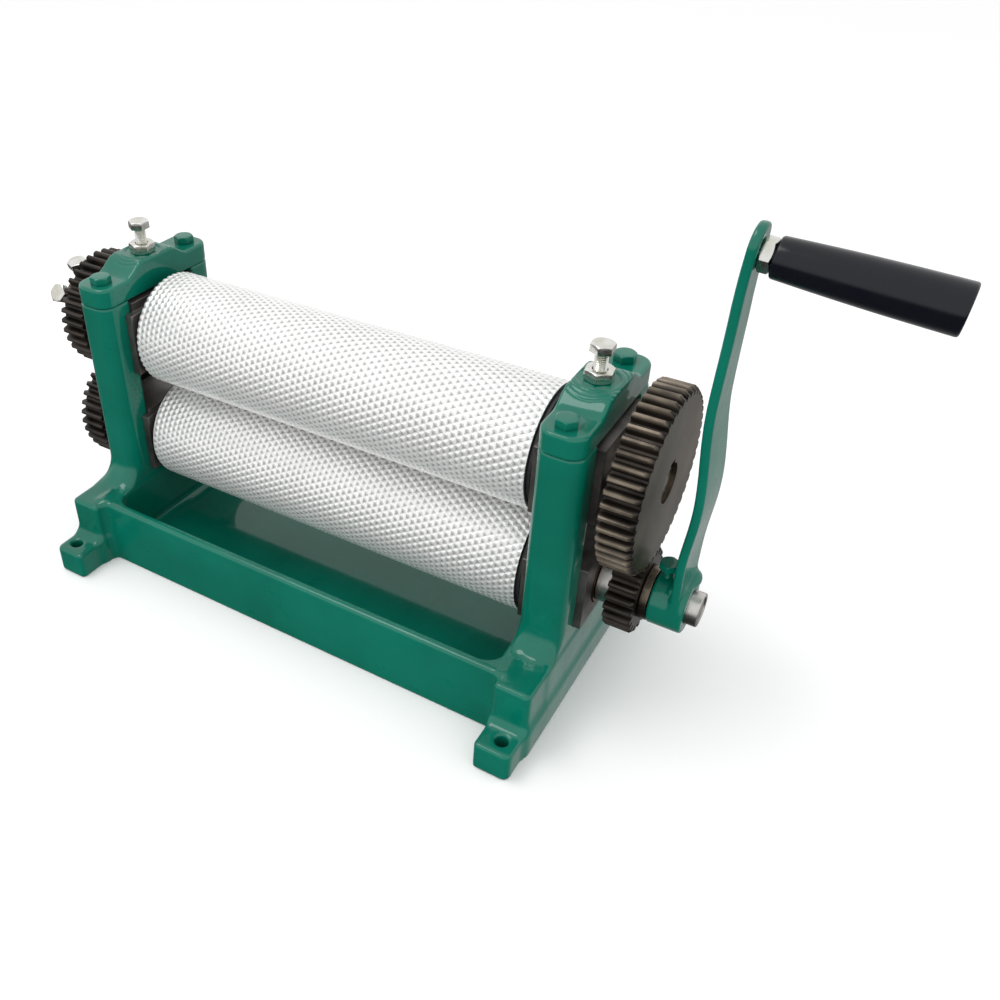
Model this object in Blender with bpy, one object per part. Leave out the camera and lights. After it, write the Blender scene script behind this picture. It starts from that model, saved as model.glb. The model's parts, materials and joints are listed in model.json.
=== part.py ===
"""Hand-cranked two-roller embossing mill: one iron frame, two patterned rollers, gears, crank and screws.

Frame: +X along the rollers towards the crank, -Y the side the sheet comes out of, +Z up.
The origin is the centre of the frame's underside.  Sizes below are in millimetres.
"""

from math import acos, cos, pi, radians, sin, sqrt, tan

import bmesh
import bpy
from mathutils import Matrix, Vector
from mathutils.geometry import tessellate_polygon

MM = 0.001
GAP = 0.3  # clearance between pieces that touch or nest

# Rollers
ROLLER_R = 42.2
ROLLER_HALF = 155.0
LOWER_Z = 84.0
MODULE = 2.5
TIMING_TEETH = 34
DRIVE_TEETH = 46
PINION_TEETH = 22
UPPER_Z = LOWER_Z + MODULE * TIMING_TEETH  # the gears set the centre distance, 85
CORE_R = 20.0  # shaft inside the roller
JOURNAL_R = 15.0
SEAT_R = 12.7  # gear seats
STUB_R = 8.5  # lower shaft inside the pinion's sleeve
DISC_R = 39.3
DISC_X = (155.3, 157.8)

# Frame casting
END_IN = 170.0
END_OUT = 195.2
POST_IN = 164.5
POST_OUT = 195.0
POST_FRONT = 57.0
POST_TOP = 202.0
POST_CORNER_R = 11.0
FLARE_R = 20.0
WALL_TOP = 52.5
WALL_Y = 87.5
WALL_THICK = 7.0
FLOOR_TOP = 7.0
POCKET_CORNER_R = 14.0
PAD_Y = 96.8
LUG_Y = 120.6
LUG_TOP = 21.2
LUG_HOLE = (184.5, 109.0)
LUG_HOLE_R = 4.5
SLOT_HALF = 33.5
SLOT_FLOOR = 61.2

# Caps, cap bolts and adjusting screws
CAP_BOTTOM = POST_TOP + GAP
CAP_LAND = 216.5
CAP_CROWN = 225.5
CAP_CROWN_HALF = 14.0
CAP_SLOPE_END = 33.0
CAP_OUT = 194.5
SPOT_FACE_R = 13.0
SPOT_FACE_Z = 224.6
SCREW_X = 178.5
BOLT_Y = 44.0
BOLT_R = 4.0
BOLT_HEAD = (13.0, 5.3)  # across flats, height
BOLT_LENGTH = 45.0
SCREW_R = 4.2
SCREW_HEAD = (13.4, 5.6)
SCREW_HEAD_TOP = 248.2
LOCK_NUT = (16.6, 7.2)

# Bearing blocks and bushes
BLOCK_HALF = SLOT_HALF - GAP
BLOCK_DOWN = 22.5
LOWER_BLOCK_UP = 26.0
UPPER_BLOCK_UP = 30.4
INNER_FLANGE = (158.4, POST_IN - GAP, 40.0)  # near x, far x, half width
BLOCK_OUT = 199.6
FLANGE_HALF_HEIGHT = 24.0
BUSH_R = 19.0
BUSH_X = (158.6, 200.2)
JOURNAL_END = 200.4
SPACER_START = 200.7

# Gears, spacers and the timing hub
TIMING_GEAR_X = (208.0, 230.0)
DRIVE_GEAR_X = (208.0, 230.0)
PINION_X = (210.5, 229.0)
SPACER_R = 17.0
TIMING_HUB_X = (230.4, 252.0)
TIMING_HUB_R = 20.5
TIMING_SCREW_DEG = (104.0, 149.0)
TIMING_SCREW_HEAD_R = 33.0
KEY_WIDTH = 7.0
KEY_TOP = SEAT_R + 2.6
KEY_BOTTOM = SEAT_R - 3.4

# Crank and handle
SLEEVE_R = 11.3
SLEEVE_END = 265.0
WASHER_X = (229.3, 234.7)
BOSS_X = (235.0, 257.5)
BOSS_R = 18.5
SET_SCREW_X = 240.5
SET_SCREW_DEG = 4.0
CRANK_LENGTH = 234.7
ARM_TIP = 238.5  # centre of the round end, a little past the spindle
ARM_THICK = 5.6
HANDLE_LEAN = radians(4.0)
HANDLE_X = 249.6  # arm centre where the spindle goes through
SPINDLE_R = 4.2
NUT = (16.5, 6.6)
GRIP_START = 10.1
GRIP_LENGTH = 89.4
GRIP_R = (10.9, 13.2)
GRIP_RECESS = (7.2, 6.0)

GREEN = ("green_enamel", (0.02, 0.21, 0.14), 0.28, 0.0)
ALUMINIUM = ("roller_aluminium", (0.80, 0.80, 0.79), 0.32, 1.0)
BLACK = ("black_ring", (0.02, 0.02, 0.022), 0.5, 0.0)
DARK_GEAR = ("oiled_gear_steel", (0.085, 0.07, 0.06), 0.42, 0.8)
BLOCK_STEEL = ("bearing_block_steel", (0.22, 0.20, 0.19), 0.45, 0.9)
SHAFT_STEEL = ("shaft_steel", (0.45, 0.43, 0.42), 0.35, 1.0)
BRONZE = ("bush_bronze", (0.45, 0.29, 0.13), 0.4, 1.0)
ZINC = ("zinc_plate", (0.72, 0.72, 0.66), 0.3, 1.0)
GRIP_BLACK = ("grip_plastic", (0.015, 0.016, 0.025), 0.22, 0.0)


def clear_scene():
    for obj in list(bpy.data.objects):
        bpy.data.objects.remove(obj, do_unlink=True)


def material(look):
    name, colour, roughness, metallic = look
    mat = bpy.data.materials.get(name)
    if mat is None:
        mat = bpy.data.materials.new(name)
        mat.use_nodes = True
        shader = mat.node_tree.nodes["Principled BSDF"]
        shader.inputs["Base Color"].default_value = (*colour, 1.0)
        shader.inputs["Roughness"].default_value = roughness
        shader.inputs["Metallic"].default_value = metallic
        mat.diffuse_color = (*colour, 1.0)
    return mat


def add_object(name, verts, faces, look, place=(0, 0, 0), parent=None, smooth=None):
    """Makes an object from millimetre points; place is its origin in the world, in millimetres."""
    mesh = bpy.data.meshes.new(name)
    mesh.from_pydata([Vector(v) * MM for v in verts], [], faces)
    bm = bmesh.new()
    bm.from_mesh(mesh)
    bmesh.ops.remove_doubles(bm, verts=bm.verts, dist=1e-6)
    bmesh.ops.recalc_face_normals(bm, faces=bm.faces)
    bm.to_mesh(mesh)
    bm.free()
    if smooth:
        mesh.shade_smooth()
        mesh.set_sharp_from_angle(angle=radians(smooth))
    if look:
        mesh.materials.append(material(look))
    obj = bpy.data.objects.new(name, mesh)
    bpy.context.collection.objects.link(obj)
    obj.location = Vector(place) * MM
    if parent:
        obj.parent = parent
        obj.location -= parent.location
    return obj


def joint_empty(name, place):
    empty = bpy.data.objects.new(name, None)
    empty.empty_display_size = 0.02
    empty.location = Vector(place) * MM
    bpy.context.collection.objects.link(empty)
    return empty


def circle(radius, count, centre=(0.0, 0.0), start=0.0):
    """Points of a circle in a plane, counter-clockwise."""
    steps = [start + 2 * pi * i / count for i in range(count)]
    return [(centre[0] + radius * cos(a), centre[1] + radius * sin(a)) for a in steps]


def hexagon(across_flats, centre=(0.0, 0.0), start=0.0):
    return circle(across_flats / sqrt(3), 6, centre, start)


def prism(loops, low, high, axis="X"):
    """Vertices and faces of a plate: loops[0] is its outline and the rest are holes through it."""

    def point(u, v, w):
        return {"X": (w, u, v), "Y": (u, w, v), "Z": (u, v, w)}[axis]

    flat = [p for loop in loops for p in loop]
    total = len(flat)
    triangles = tessellate_polygon([[Vector((u, v, 0)) for u, v in loop] for loop in loops])
    verts = [point(u, v, low) for u, v in flat] + [point(u, v, high) for u, v in flat]
    faces = [tuple(t) for t in triangles] + [tuple(i + total for i in t) for t in triangles]
    first = 0
    for loop in loops:
        count = len(loop)
        for i in range(count):
            a = first + i
            b = first + (i + 1) % count
            faces.append((a, b, b + total, a + total))
        first += count
    return verts, faces


def turned(profile, segments=32):
    """Vertices and faces of a closed profile of (x, radius) points turned about the X axis."""
    verts = []
    rings = []
    for x, radius in profile:
        if radius == 0:
            rings.append([len(verts)] * segments)
            verts.append((x, 0.0, 0.0))
        else:
            rings.append(range(len(verts), len(verts) + segments))
            verts += [(x, y, z) for y, z in circle(radius, segments)]
    faces = []
    for i, ring in enumerate(rings):
        following = rings[(i + 1) % len(rings)]
        for k in range(segments):
            n = (k + 1) % segments
            corners = [ring[k], ring[n], following[n], following[k]]
            face = list(dict.fromkeys(corners))
            if len(face) > 2:
                faces.append(tuple(face))
    return verts, faces


def along_z(verts):
    """Turns points made about the X axis to stand about the Z axis, +X going to +Z."""
    return [(-z, y, x) for x, y, z in verts]


def ring(x0, x1, outer, inner):
    return [(x0, inner), (x0, outer), (x1, outer), (x1, inner)]


def hex_bolt(head, shank_r, shank_length, segments=16):
    """A bolt along +X with its head's underside at x = 0 and its shank towards -X."""
    flats, height = head
    corners = hexagon(flats)
    shank = circle(shank_r, segments)
    verts = [(height, u, v) for u, v in corners] + [(0, u, v) for u, v in corners]
    verts += [(0, u, v) for u, v in shank] + [(-shank_length, u, v) for u, v in shank]
    faces = [tuple(range(6))]
    faces += [(i, (i + 1) % 6, 6 + (i + 1) % 6, 6 + i) for i in range(6)]
    under = tessellate_polygon([[Vector((u, v, 0)) for u, v in loop] for loop in (corners, shank)])
    faces += [tuple(6 + i for i in t) for t in under]
    top = 12
    end = 12 + segments
    for i in range(segments):
        n = (i + 1) % segments
        faces.append((top + i, top + n, end + n, end + i))
    faces.append(tuple(range(end, end + segments)))
    return verts, faces


def apply_booleans(obj, operations):
    """Cuts or joins (operation, verts, faces) shapes into obj, and keeps the result as its mesh."""
    helpers = []
    for index, (operation, verts, faces) in enumerate(operations):
        helper = add_object(f"{obj.name}_tool_{index}", verts, faces, None)
        helper.location = obj.location + obj.parent.location if obj.parent else obj.location
        helper.hide_render = True
        helper.display_type = "WIRE"
        modifier = obj.modifiers.new(helper.name, "BOOLEAN")
        modifier.operation = operation
        modifier.object = helper
        helpers.append(helper)
    bpy.context.view_layer.update()
    graph = bpy.context.evaluated_depsgraph_get()
    result = bpy.data.meshes.new_from_object(obj.evaluated_get(graph))
    obj.modifiers.clear()
    obj.data = result
    for helper in helpers:
        bpy.data.objects.remove(helper, do_unlink=True)
    bm = bmesh.new()
    bm.from_mesh(result)
    bmesh.ops.dissolve_limit(bm, angle_limit=radians(0.5), verts=bm.verts, edges=bm.edges)
    bmesh.ops.triangulate(bm, faces=bm.faces)
    bm.to_mesh(result)
    bm.free()
    result.shade_smooth()
    result.set_sharp_from_angle(angle=radians(32))


def box(x0, x1, y0, y1, z0, z1):
    return prism([[(y0, z0), (y1, z0), (y1, z1), (y0, z1)]], x0, x1)


def rounded_rectangle(half_x, half_y, radius, steps=5):
    points = []
    for quarter, (sx, sy) in enumerate(((1, 1), (-1, 1), (-1, -1), (1, -1))):
        centre = (sx * (half_x - radius), sy * (half_y - radius))
        for i in range(steps + 1):
            a = (quarter + i / steps) * pi / 2
            points.append((centre[0] + radius * cos(a), centre[1] + radius * sin(a)))
    return points


def post_front(z):
    """How far a post reaches in y at height z: straight above, a concave flare down to the pad."""
    flare_top = WALL_TOP + FLARE_R
    if z >= flare_top:
        return POST_FRONT
    depth = min(flare_top - z, FLARE_R)
    return POST_FRONT + FLARE_R - sqrt(FLARE_R**2 - depth**2)


def post(side, front):
    """One post of a yoke, lofted through levels; side is the sign of x and front the sign of y."""
    corner = [i * pi / 2 / 4 for i in range(5)]
    flare = [WALL_TOP + FLARE_R * (1 - cos(radians(a))) for a in (0, 20, 40, 60, 75, 90)]
    levels = [WALL_TOP - 12.0] + flare + [POST_TOP]
    verts = []
    for z in levels:
        reach = post_front(z) - POST_CORNER_R
        outer = [(POST_OUT - POST_CORNER_R + POST_CORNER_R * cos(a), reach + POST_CORNER_R * sin(a)) for a in corner]
        inner = [(POST_IN + POST_CORNER_R - POST_CORNER_R * sin(a), reach + POST_CORNER_R * cos(a)) for a in corner]
        section = [(POST_IN, SLOT_HALF - 2), (POST_OUT, SLOT_HALF - 2)] + outer + inner
        verts += [(side * x, front * y, z) for x, y in section]
    count = len(section)
    faces = [tuple(range(count)), tuple(range(len(verts) - count, len(verts)))]
    for level in range(len(levels) - 1):
        for i in range(count):
            a = level * count + i
            b = level * count + (i + 1) % count
            faces.append((a, b, b + count, a + count))
    return verts, faces


def make_frame():
    """The whole green casting: trough, end pads, lugs and the four posts of the two yokes."""
    outline = [(-LUG_Y, 0), (LUG_Y, 0), (LUG_Y, LUG_TOP), (PAD_Y, LUG_TOP), (PAD_Y, WALL_TOP)]
    outline += [(-PAD_Y, WALL_TOP), (-PAD_Y, LUG_TOP), (-LUG_Y, LUG_TOP)]
    verts, faces = prism([rounded_rectangle(END_IN + 2, WALL_Y, 0.5, 1)], 0, WALL_TOP, "Z")
    frame = add_object("frame_casting", verts, faces, GREEN)
    work = []
    for side in (-1, 1):
        ends = sorted((side * END_IN, side * END_OUT))
        work.append(("UNION", *prism([outline], *ends)))
        ends = sorted((side * POST_IN, side * POST_OUT))
        work.append(("UNION", *box(*ends, -SLOT_HALF - 4, SLOT_HALF + 4, 20, SLOT_FLOOR)))
        for front in (-1, 1):
            work.append(("UNION", *post(side, front)))
    pocket = rounded_rectangle(POST_IN, WALL_Y - WALL_THICK, POCKET_CORNER_R)
    work.append(("DIFFERENCE", *prism([pocket], FLOOR_TOP, WALL_TOP + 0.5, "Z")))
    for side in (-1, 1):
        ends = sorted((side * (POST_IN - 5), side * (END_OUT + 5)))
        work.append(("DIFFERENCE", *box(*ends, -SLOT_HALF, SLOT_HALF, SLOT_FLOOR, POST_TOP + 5)))
        for front in (-1, 1):
            hole = circle(LUG_HOLE_R, 16, (side * LUG_HOLE[0], front * LUG_HOLE[1]))
            work.append(("DIFFERENCE", *prism([hole], -5, LUG_TOP + 5, "Z")))
            hole = circle(BOLT_R + GAP, 16, (side * SCREW_X, front * BOLT_Y))
            bottom = CAP_LAND - BOLT_LENGTH - 1
            work.append(("DIFFERENCE", *prism([hole], bottom, POST_TOP + 5, "Z")))
    apply_booleans(frame, work)


def cap_height(y):
    """Height of a cap's top at y: flat lands under the bolts and a crown round the screw."""
    across = (CAP_SLOPE_END - abs(y)) / (CAP_SLOPE_END - CAP_CROWN_HALF)
    across = min(max(across, 0.0), 1.0)
    return CAP_LAND + (CAP_CROWN - CAP_LAND) * across * across * (3 - 2 * across)


def make_cap(side, label):
    slope = [CAP_CROWN_HALF + (CAP_SLOPE_END - CAP_CROWN_HALF) * i / 5 for i in range(6)]
    stations = [-y for y in reversed(slope)] + slope
    stations = [-POST_FRONT - 2] + stations + [POST_FRONT + 2]
    outline = [(y, cap_height(y)) for y in reversed(stations)]
    outline += [(-POST_FRONT - 2, CAP_BOTTOM), (POST_FRONT + 2, CAP_BOTTOM)]
    ends = sorted((side * POST_IN, side * CAP_OUT))
    cap = add_object(f"{label}_cap", *prism([outline], *ends), GREEN)
    middle = side * (POST_IN + CAP_OUT) / 2
    plan = rounded_rectangle((CAP_OUT - POST_IN) / 2, POST_FRONT, POST_CORNER_R)
    plan = [(middle + x, y) for x, y in plan]
    work = [("INTERSECT", *prism([plan], CAP_BOTTOM - 3, CAP_CROWN + 3, "Z"))]
    spot = circle(SPOT_FACE_R, 24, (side * SCREW_X, 0))
    work.append(("DIFFERENCE", *prism([spot], SPOT_FACE_Z, CAP_CROWN + 4, "Z")))
    holes = [(0, SCREW_R + GAP), (-BOLT_Y, BOLT_R + GAP), (BOLT_Y, BOLT_R + GAP)]
    for y, radius in holes:
        hole = circle(radius, 16, (side * SCREW_X, y))
        work.append(("DIFFERENCE", *prism([hole], CAP_BOTTOM - 4, CAP_CROWN + 5, "Z")))
    apply_booleans(cap, work)


def make_cap_bolts(side, label):
    for front, word in ((-1, "front"), (1, "rear")):
        verts, faces = hex_bolt(BOLT_HEAD, BOLT_R, BOLT_LENGTH)
        place = (side * SCREW_X, front * BOLT_Y, CAP_LAND + GAP)
        add_object(f"{label}_{word}_cap_bolt", along_z(verts), faces, GREEN, place, smooth=40)


def make_adjusting_screw(side, label, parent):
    """The nip screw, its tip just above the upper block, and its lock nut on the cap."""
    tip = UPPER_Z + UPPER_BLOCK_UP + GAP
    underside = SCREW_HEAD_TOP - SCREW_HEAD[1]
    verts, faces = hex_bolt(SCREW_HEAD, SCREW_R, underside - tip)
    place = (side * SCREW_X, 0, underside)
    add_object(f"{label}_adjusting_screw", along_z(verts), faces, ZINC, place, parent, smooth=40)
    flats, height = LOCK_NUT
    loops = [hexagon(flats, start=radians(8)), circle(SCREW_R + GAP, 16)]
    verts, faces = prism(loops, 0, height, "Z")
    place = (side * SCREW_X, 0, SPOT_FACE_Z + GAP)
    add_object(f"{label}_screw_lock_nut", verts, faces, ZINC, place, smooth=40)


def make_block(side, name, axis_z, up, parent=None):
    """A bearing block that slides in the yoke's slot, with a flange against the inside of the post."""
    bore = circle(BUSH_R + GAP, 24)
    near, far, half = INNER_FLANGE
    flange = [(-half, -FLANGE_HALF_HEIGHT), (half, -FLANGE_HALF_HEIGHT)]
    flange += [(half, FLANGE_HALF_HEIGHT), (-half, FLANGE_HALF_HEIGHT)]
    verts, faces = prism([flange, bore], *sorted((side * near, side * far)))
    block = add_object(name, verts, faces, BLOCK_STEEL, (0, 0, axis_z), parent)
    body = [(-BLOCK_HALF, -BLOCK_DOWN), (BLOCK_HALF, -BLOCK_DOWN), (BLOCK_HALF, up), (-BLOCK_HALF, up)]
    body_x = sorted((side * (far - 1), side * BLOCK_OUT))
    apply_booleans(block, [("UNION", *prism([body, bore], *body_x))])



def make_bush(side, name, axis_z, parent=None):
    ends = [side * x for x in BUSH_X]
    verts, faces = turned(ring(*ends, BUSH_R, JOURNAL_R + GAP), 24)
    add_object(name, verts, faces, BRONZE, (0, 0, axis_z), parent, smooth=40)


def involute(angle):
    return tan(angle) - angle


def gear_outline(teeth, tooth_at, backlash=0.22):
    """Outline of an involute gear in the YZ plane with one tooth centred at the angle tooth_at."""
    pitch = MODULE * teeth / 2
    pressure = radians(20)
    base = pitch * cos(pressure)
    root = pitch - 1.25 * MODULE
    tip = pitch + MODULE - 0.4  # stubbed teeth
    half_pitch = pi / (2 * teeth) - backlash / 2 / pitch
    radii = [root, pitch, tip]
    halves = []
    for radius in radii:
        at = acos(min(base / radius, 1.0))
        halves.append(half_pitch + involute(pressure) - involute(at))
    halves[0] = halves[1] * pitch / root + 0.35 / root
    points = []
    for tooth in range(teeth):
        middle = tooth_at + 2 * pi * tooth / teeth
        points += [(r * cos(middle - h), r * sin(middle - h)) for r, h in zip(radii, halves)]
        rising = list(zip(radii, halves))
        points += [(r * cos(middle + h), r * sin(middle + h)) for r, h in reversed(rising)]
    return points


def keyed_bore(radius, segments=24):
    """A bore with a keyway at the top: the circle is opened where the key's slot meets it."""
    half = KEY_WIDTH / 2 + GAP
    top = KEY_TOP + GAP
    start = acos(half / radius)
    points = []
    sweep = 2 * pi - (pi - 2 * start)
    for i in range(segments + 1):
        a = pi - start + sweep * i / segments
        points.append((radius * cos(a), radius * sin(a)))
    return points + [(half, top), (-half, top)]


def make_keyed_gear(name, teeth, x_range, tooth_at, axis_z, parent):
    loops = [gear_outline(teeth, tooth_at), keyed_bore(SEAT_R + GAP)]
    verts, faces = prism(loops, *x_range)
    add_object(name, verts, faces, DARK_GEAR, (0, 0, axis_z), parent, smooth=30)


def make_key(name, x_range, axis_z, parent):
    half = KEY_WIDTH / 2
    verts, faces = box(*x_range, -half, half, KEY_BOTTOM + GAP, KEY_TOP)
    add_object(name, verts, faces, SHAFT_STEEL, (0, 0, axis_z), parent)


def make_shaft(name, profile, keyways, axis_z, parent):
    verts, faces = turned(profile, 24)
    shaft = add_object(name, verts, faces, SHAFT_STEEL, (0, 0, axis_z), parent)
    half = KEY_WIDTH / 2 + GAP
    work = [("DIFFERENCE", *box(*ends, -half, half, KEY_BOTTOM, SEAT_R + 3)) for ends in keyways]
    apply_booleans(shaft, work)


def make_roller(level, axis_z, parent):
    """Sleeve and the black end discs; the embossed pattern is only a surface and is left plain here."""
    verts, faces = turned(ring(-ROLLER_HALF, ROLLER_HALF, ROLLER_R, CORE_R + GAP), 56)
    add_object(f"{level}_roller_sleeve", verts, faces, ALUMINIUM, (0, 0, axis_z), parent, smooth=40)
    for side, label in ((-1, "left"), (1, "right")):
        ends = [side * x for x in DISC_X]
        verts, faces = turned(ring(*ends, DISC_R, JOURNAL_R + GAP), 32)
        add_object(f"{level}_{label}_end_disc", verts, faces, BLACK, (0, 0, axis_z), parent, smooth=40)


def make_spacer(name, ends, axis_z, parent, outer=SPACER_R, inner=SEAT_R + GAP, look=SHAFT_STEEL):
    verts, faces = turned(ring(*ends, outer, inner), 24)
    add_object(name, verts, faces, look, (0, 0, axis_z), parent, smooth=40)


def shaft_profile(steps):
    """Closed turned profile from (x, radius) steps, flat at both ends."""
    points = [(steps[0][0], 0.0)]
    for (x0, radius), (x1, _) in zip(steps, steps[1:]):
        points += [(x0, radius), (x1, radius)]
    points.append((steps[-1][0], 0.0))
    return points


def make_upper_roller(parent):
    make_roller("upper", UPPER_Z, parent)
    gear_end = DRIVE_GEAR_X[1] - 3.0
    hub_end = TIMING_HUB_X[1] + 2.0
    core = ROLLER_HALF - 0.2
    steps = [(-hub_end, SEAT_R), (-JOURNAL_END, JOURNAL_R), (-core, CORE_R), (core, JOURNAL_R)]
    steps += [(JOURNAL_END, SEAT_R), (gear_end, 0)]
    left_key = (-TIMING_GEAR_X[1] + 1, -TIMING_GEAR_X[0] - 1)
    right_key = (DRIVE_GEAR_X[0] + 1, gear_end - 1)
    keyways = [(left_key[0] - GAP, left_key[1] + GAP), (right_key[0] - GAP, gear_end + 1)]
    make_shaft("upper_shaft", shaft_profile(steps), keyways, UPPER_Z, parent)
    timing_x = (-TIMING_GEAR_X[1], -TIMING_GEAR_X[0])
    make_keyed_gear("upper_timing_gear", TIMING_TEETH, timing_x, -pi / 2, UPPER_Z, parent)
    make_keyed_gear("drive_gear", DRIVE_TEETH, DRIVE_GEAR_X, -pi / 2, UPPER_Z, parent)
    make_key("upper_timing_key", left_key, UPPER_Z, parent)
    make_key("drive_gear_key", right_key, UPPER_Z, parent)
    left = (-TIMING_GEAR_X[0] + GAP, -SPACER_START)
    right = (SPACER_START, DRIVE_GEAR_X[0] - GAP)
    make_spacer("upper_left_spacer", left, UPPER_Z, parent)
    make_spacer("upper_right_spacer", right, UPPER_Z, parent)
    make_timing_hub(parent)


def make_timing_hub(parent):
    """The collar outside the upper left gear that sets its phase, locked by two hexagon screws."""
    x0, x1 = TIMING_HUB_X
    verts, faces = turned(ring(-x1, -x0, TIMING_HUB_R, SEAT_R + GAP), 28)
    hub = add_object("timing_hub", verts, faces, DARK_GEAR, (0, 0, UPPER_Z), parent)
    middle = -(x0 + x1) / 2 - 1.0
    work = []
    for index, degrees in enumerate(TIMING_SCREW_DEG):
        angle = radians(degrees)
        turn = Matrix.Rotation(angle - pi / 2, 4, "X")
        hole_verts, hole_faces = turned(shaft_profile([(SEAT_R - 3, BOLT_R + GAP), (40, 0)]), 12)
        hole = [turn @ Vector(v) + Vector((middle, 0, 0)) for v in along_z(hole_verts)]
        work.append(("DIFFERENCE", hole, hole_faces))
        reach = TIMING_SCREW_HEAD_R - (SEAT_R + 2 * GAP)
        screw_verts, screw_faces = hex_bolt(BOLT_HEAD, BOLT_R, reach, 12)
        lifted = [Vector(v) + Vector((0, 0, TIMING_SCREW_HEAD_R)) for v in along_z(screw_verts)]
        screw = [turn @ v + Vector((middle, 0, 0)) for v in lifted]
        name = f"timing_screw_{index + 1}"
        add_object(name, screw, screw_faces, ZINC, (0, 0, UPPER_Z), parent, smooth=40)
    apply_booleans(hub, work)


def make_lower_roller(parent):
    make_roller("lower", LOWER_Z, parent)
    left_end = TIMING_GEAR_X[1] + 5.0
    core = ROLLER_HALF - 0.2
    steps = [(-left_end, SEAT_R), (-JOURNAL_END, JOURNAL_R), (-core, CORE_R), (core, JOURNAL_R)]
    steps += [(JOURNAL_END, STUB_R), (SLEEVE_END - 1.0, 0)]
    key = (-TIMING_GEAR_X[1] + 1, -TIMING_GEAR_X[0] - 1)
    keyways = [(key[0] - GAP, key[1] + GAP)]
    make_shaft("lower_shaft", shaft_profile(steps), keyways, LOWER_Z, parent)
    timing_x = (-TIMING_GEAR_X[1], -TIMING_GEAR_X[0])
    tooth_at = pi / 2 + pi / TIMING_TEETH
    make_keyed_gear("lower_timing_gear", TIMING_TEETH, timing_x, tooth_at, LOWER_Z, parent)
    make_key("lower_timing_key", key, LOWER_Z, parent)
    left = (-TIMING_GEAR_X[0] + GAP, -SPACER_START)
    make_spacer("lower_left_spacer", left, LOWER_Z, parent)
    clip = (-TIMING_GEAR_X[1] - 2.4, -TIMING_GEAR_X[1] - GAP)
    make_spacer("lower_gear_retaining_ring", clip, LOWER_Z, parent, outer=SEAT_R + 3.0)


def make_crank(parent):
    """Pinion with its sleeve, washer, crank arm and set screw, all on the lower shaft's stub."""
    low, high = PINION_X
    bore = STUB_R + GAP
    tooth_at = pi / 2 + pi / PINION_TEETH
    verts, faces = prism([gear_outline(PINION_TEETH, tooth_at), circle(bore, 24)], low, high)
    pinion = add_object("drive_pinion", verts, faces, DARK_GEAR, (0, 0, LOWER_Z), parent)
    sleeve = prism([circle(SLEEVE_R, 24), circle(bore, 24)], high - 1, SLEEVE_END)
    apply_booleans(pinion, [("UNION", *sleeve)])
    ends = (SPACER_START, low - GAP)
    make_spacer("pinion_spacer", ends, LOWER_Z, parent, inner=bore)
    make_spacer("crank_washer", WASHER_X, LOWER_Z, parent, 18.2, SLEEVE_R + GAP, DARK_GEAR)
    make_crank_arm(parent)
    screw_turn = Matrix.Rotation(radians(SET_SCREW_DEG), 4, "X")
    verts, faces = hex_bolt((11.0, 4.8), 3.2, 13.5, 12)
    lifted = [Vector(v) + Vector((0, 0, SLEEVE_R + GAP + 13.8)) for v in along_z(verts)]
    placed = [screw_turn @ v + Vector((SET_SCREW_X, 0, 0)) for v in lifted]
    add_object("crank_set_screw", placed, faces, ZINC, (0, 0, LOWER_Z), parent, smooth=40)


def between(stations, height, smooth):
    """Value at a height from (height, value) stations, joined by straight lines or by half cosines."""
    for (h0, v0), (h1, v1) in zip(stations, stations[1:]):
        if height <= h1:
            part = (height - h0) / (h1 - h0)
            return v0 + (v1 - v0) * ((1 - cos(pi * part)) / 2 if smooth else part)
    return stations[-1][1]


def arm_width(height):
    """Width of the crank arm at a height above the crank's axis."""
    stations = [(0, 31.0), (14, 34.6), (40, 39.8), (65, 40.3), (90, 39.6), (120, 37.0), (150, 31.4), (180, 27.2)]
    return between(stations + [(210, 24.8), (235, 23.6)], height, False)


def arm_offset(height):
    """x of the arm's middle: it bows out past the gear, comes in again and leans out at the handle."""
    lean = tan(HANDLE_LEAN) * max(height - (CRANK_LENGTH - 30), 0.0) ** 2 / 60
    foot = between([(0, 251.0), (38, 250.5), (84, 253.1), (152, 248.0)], height, True)
    top = HANDLE_X - tan(HANDLE_LEAN) * 15
    return foot + lean + (top - 248.0) * between([(152, 0.0), (CRANK_LENGTH - 30, 1.0)], max(height, 152), True)


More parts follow.
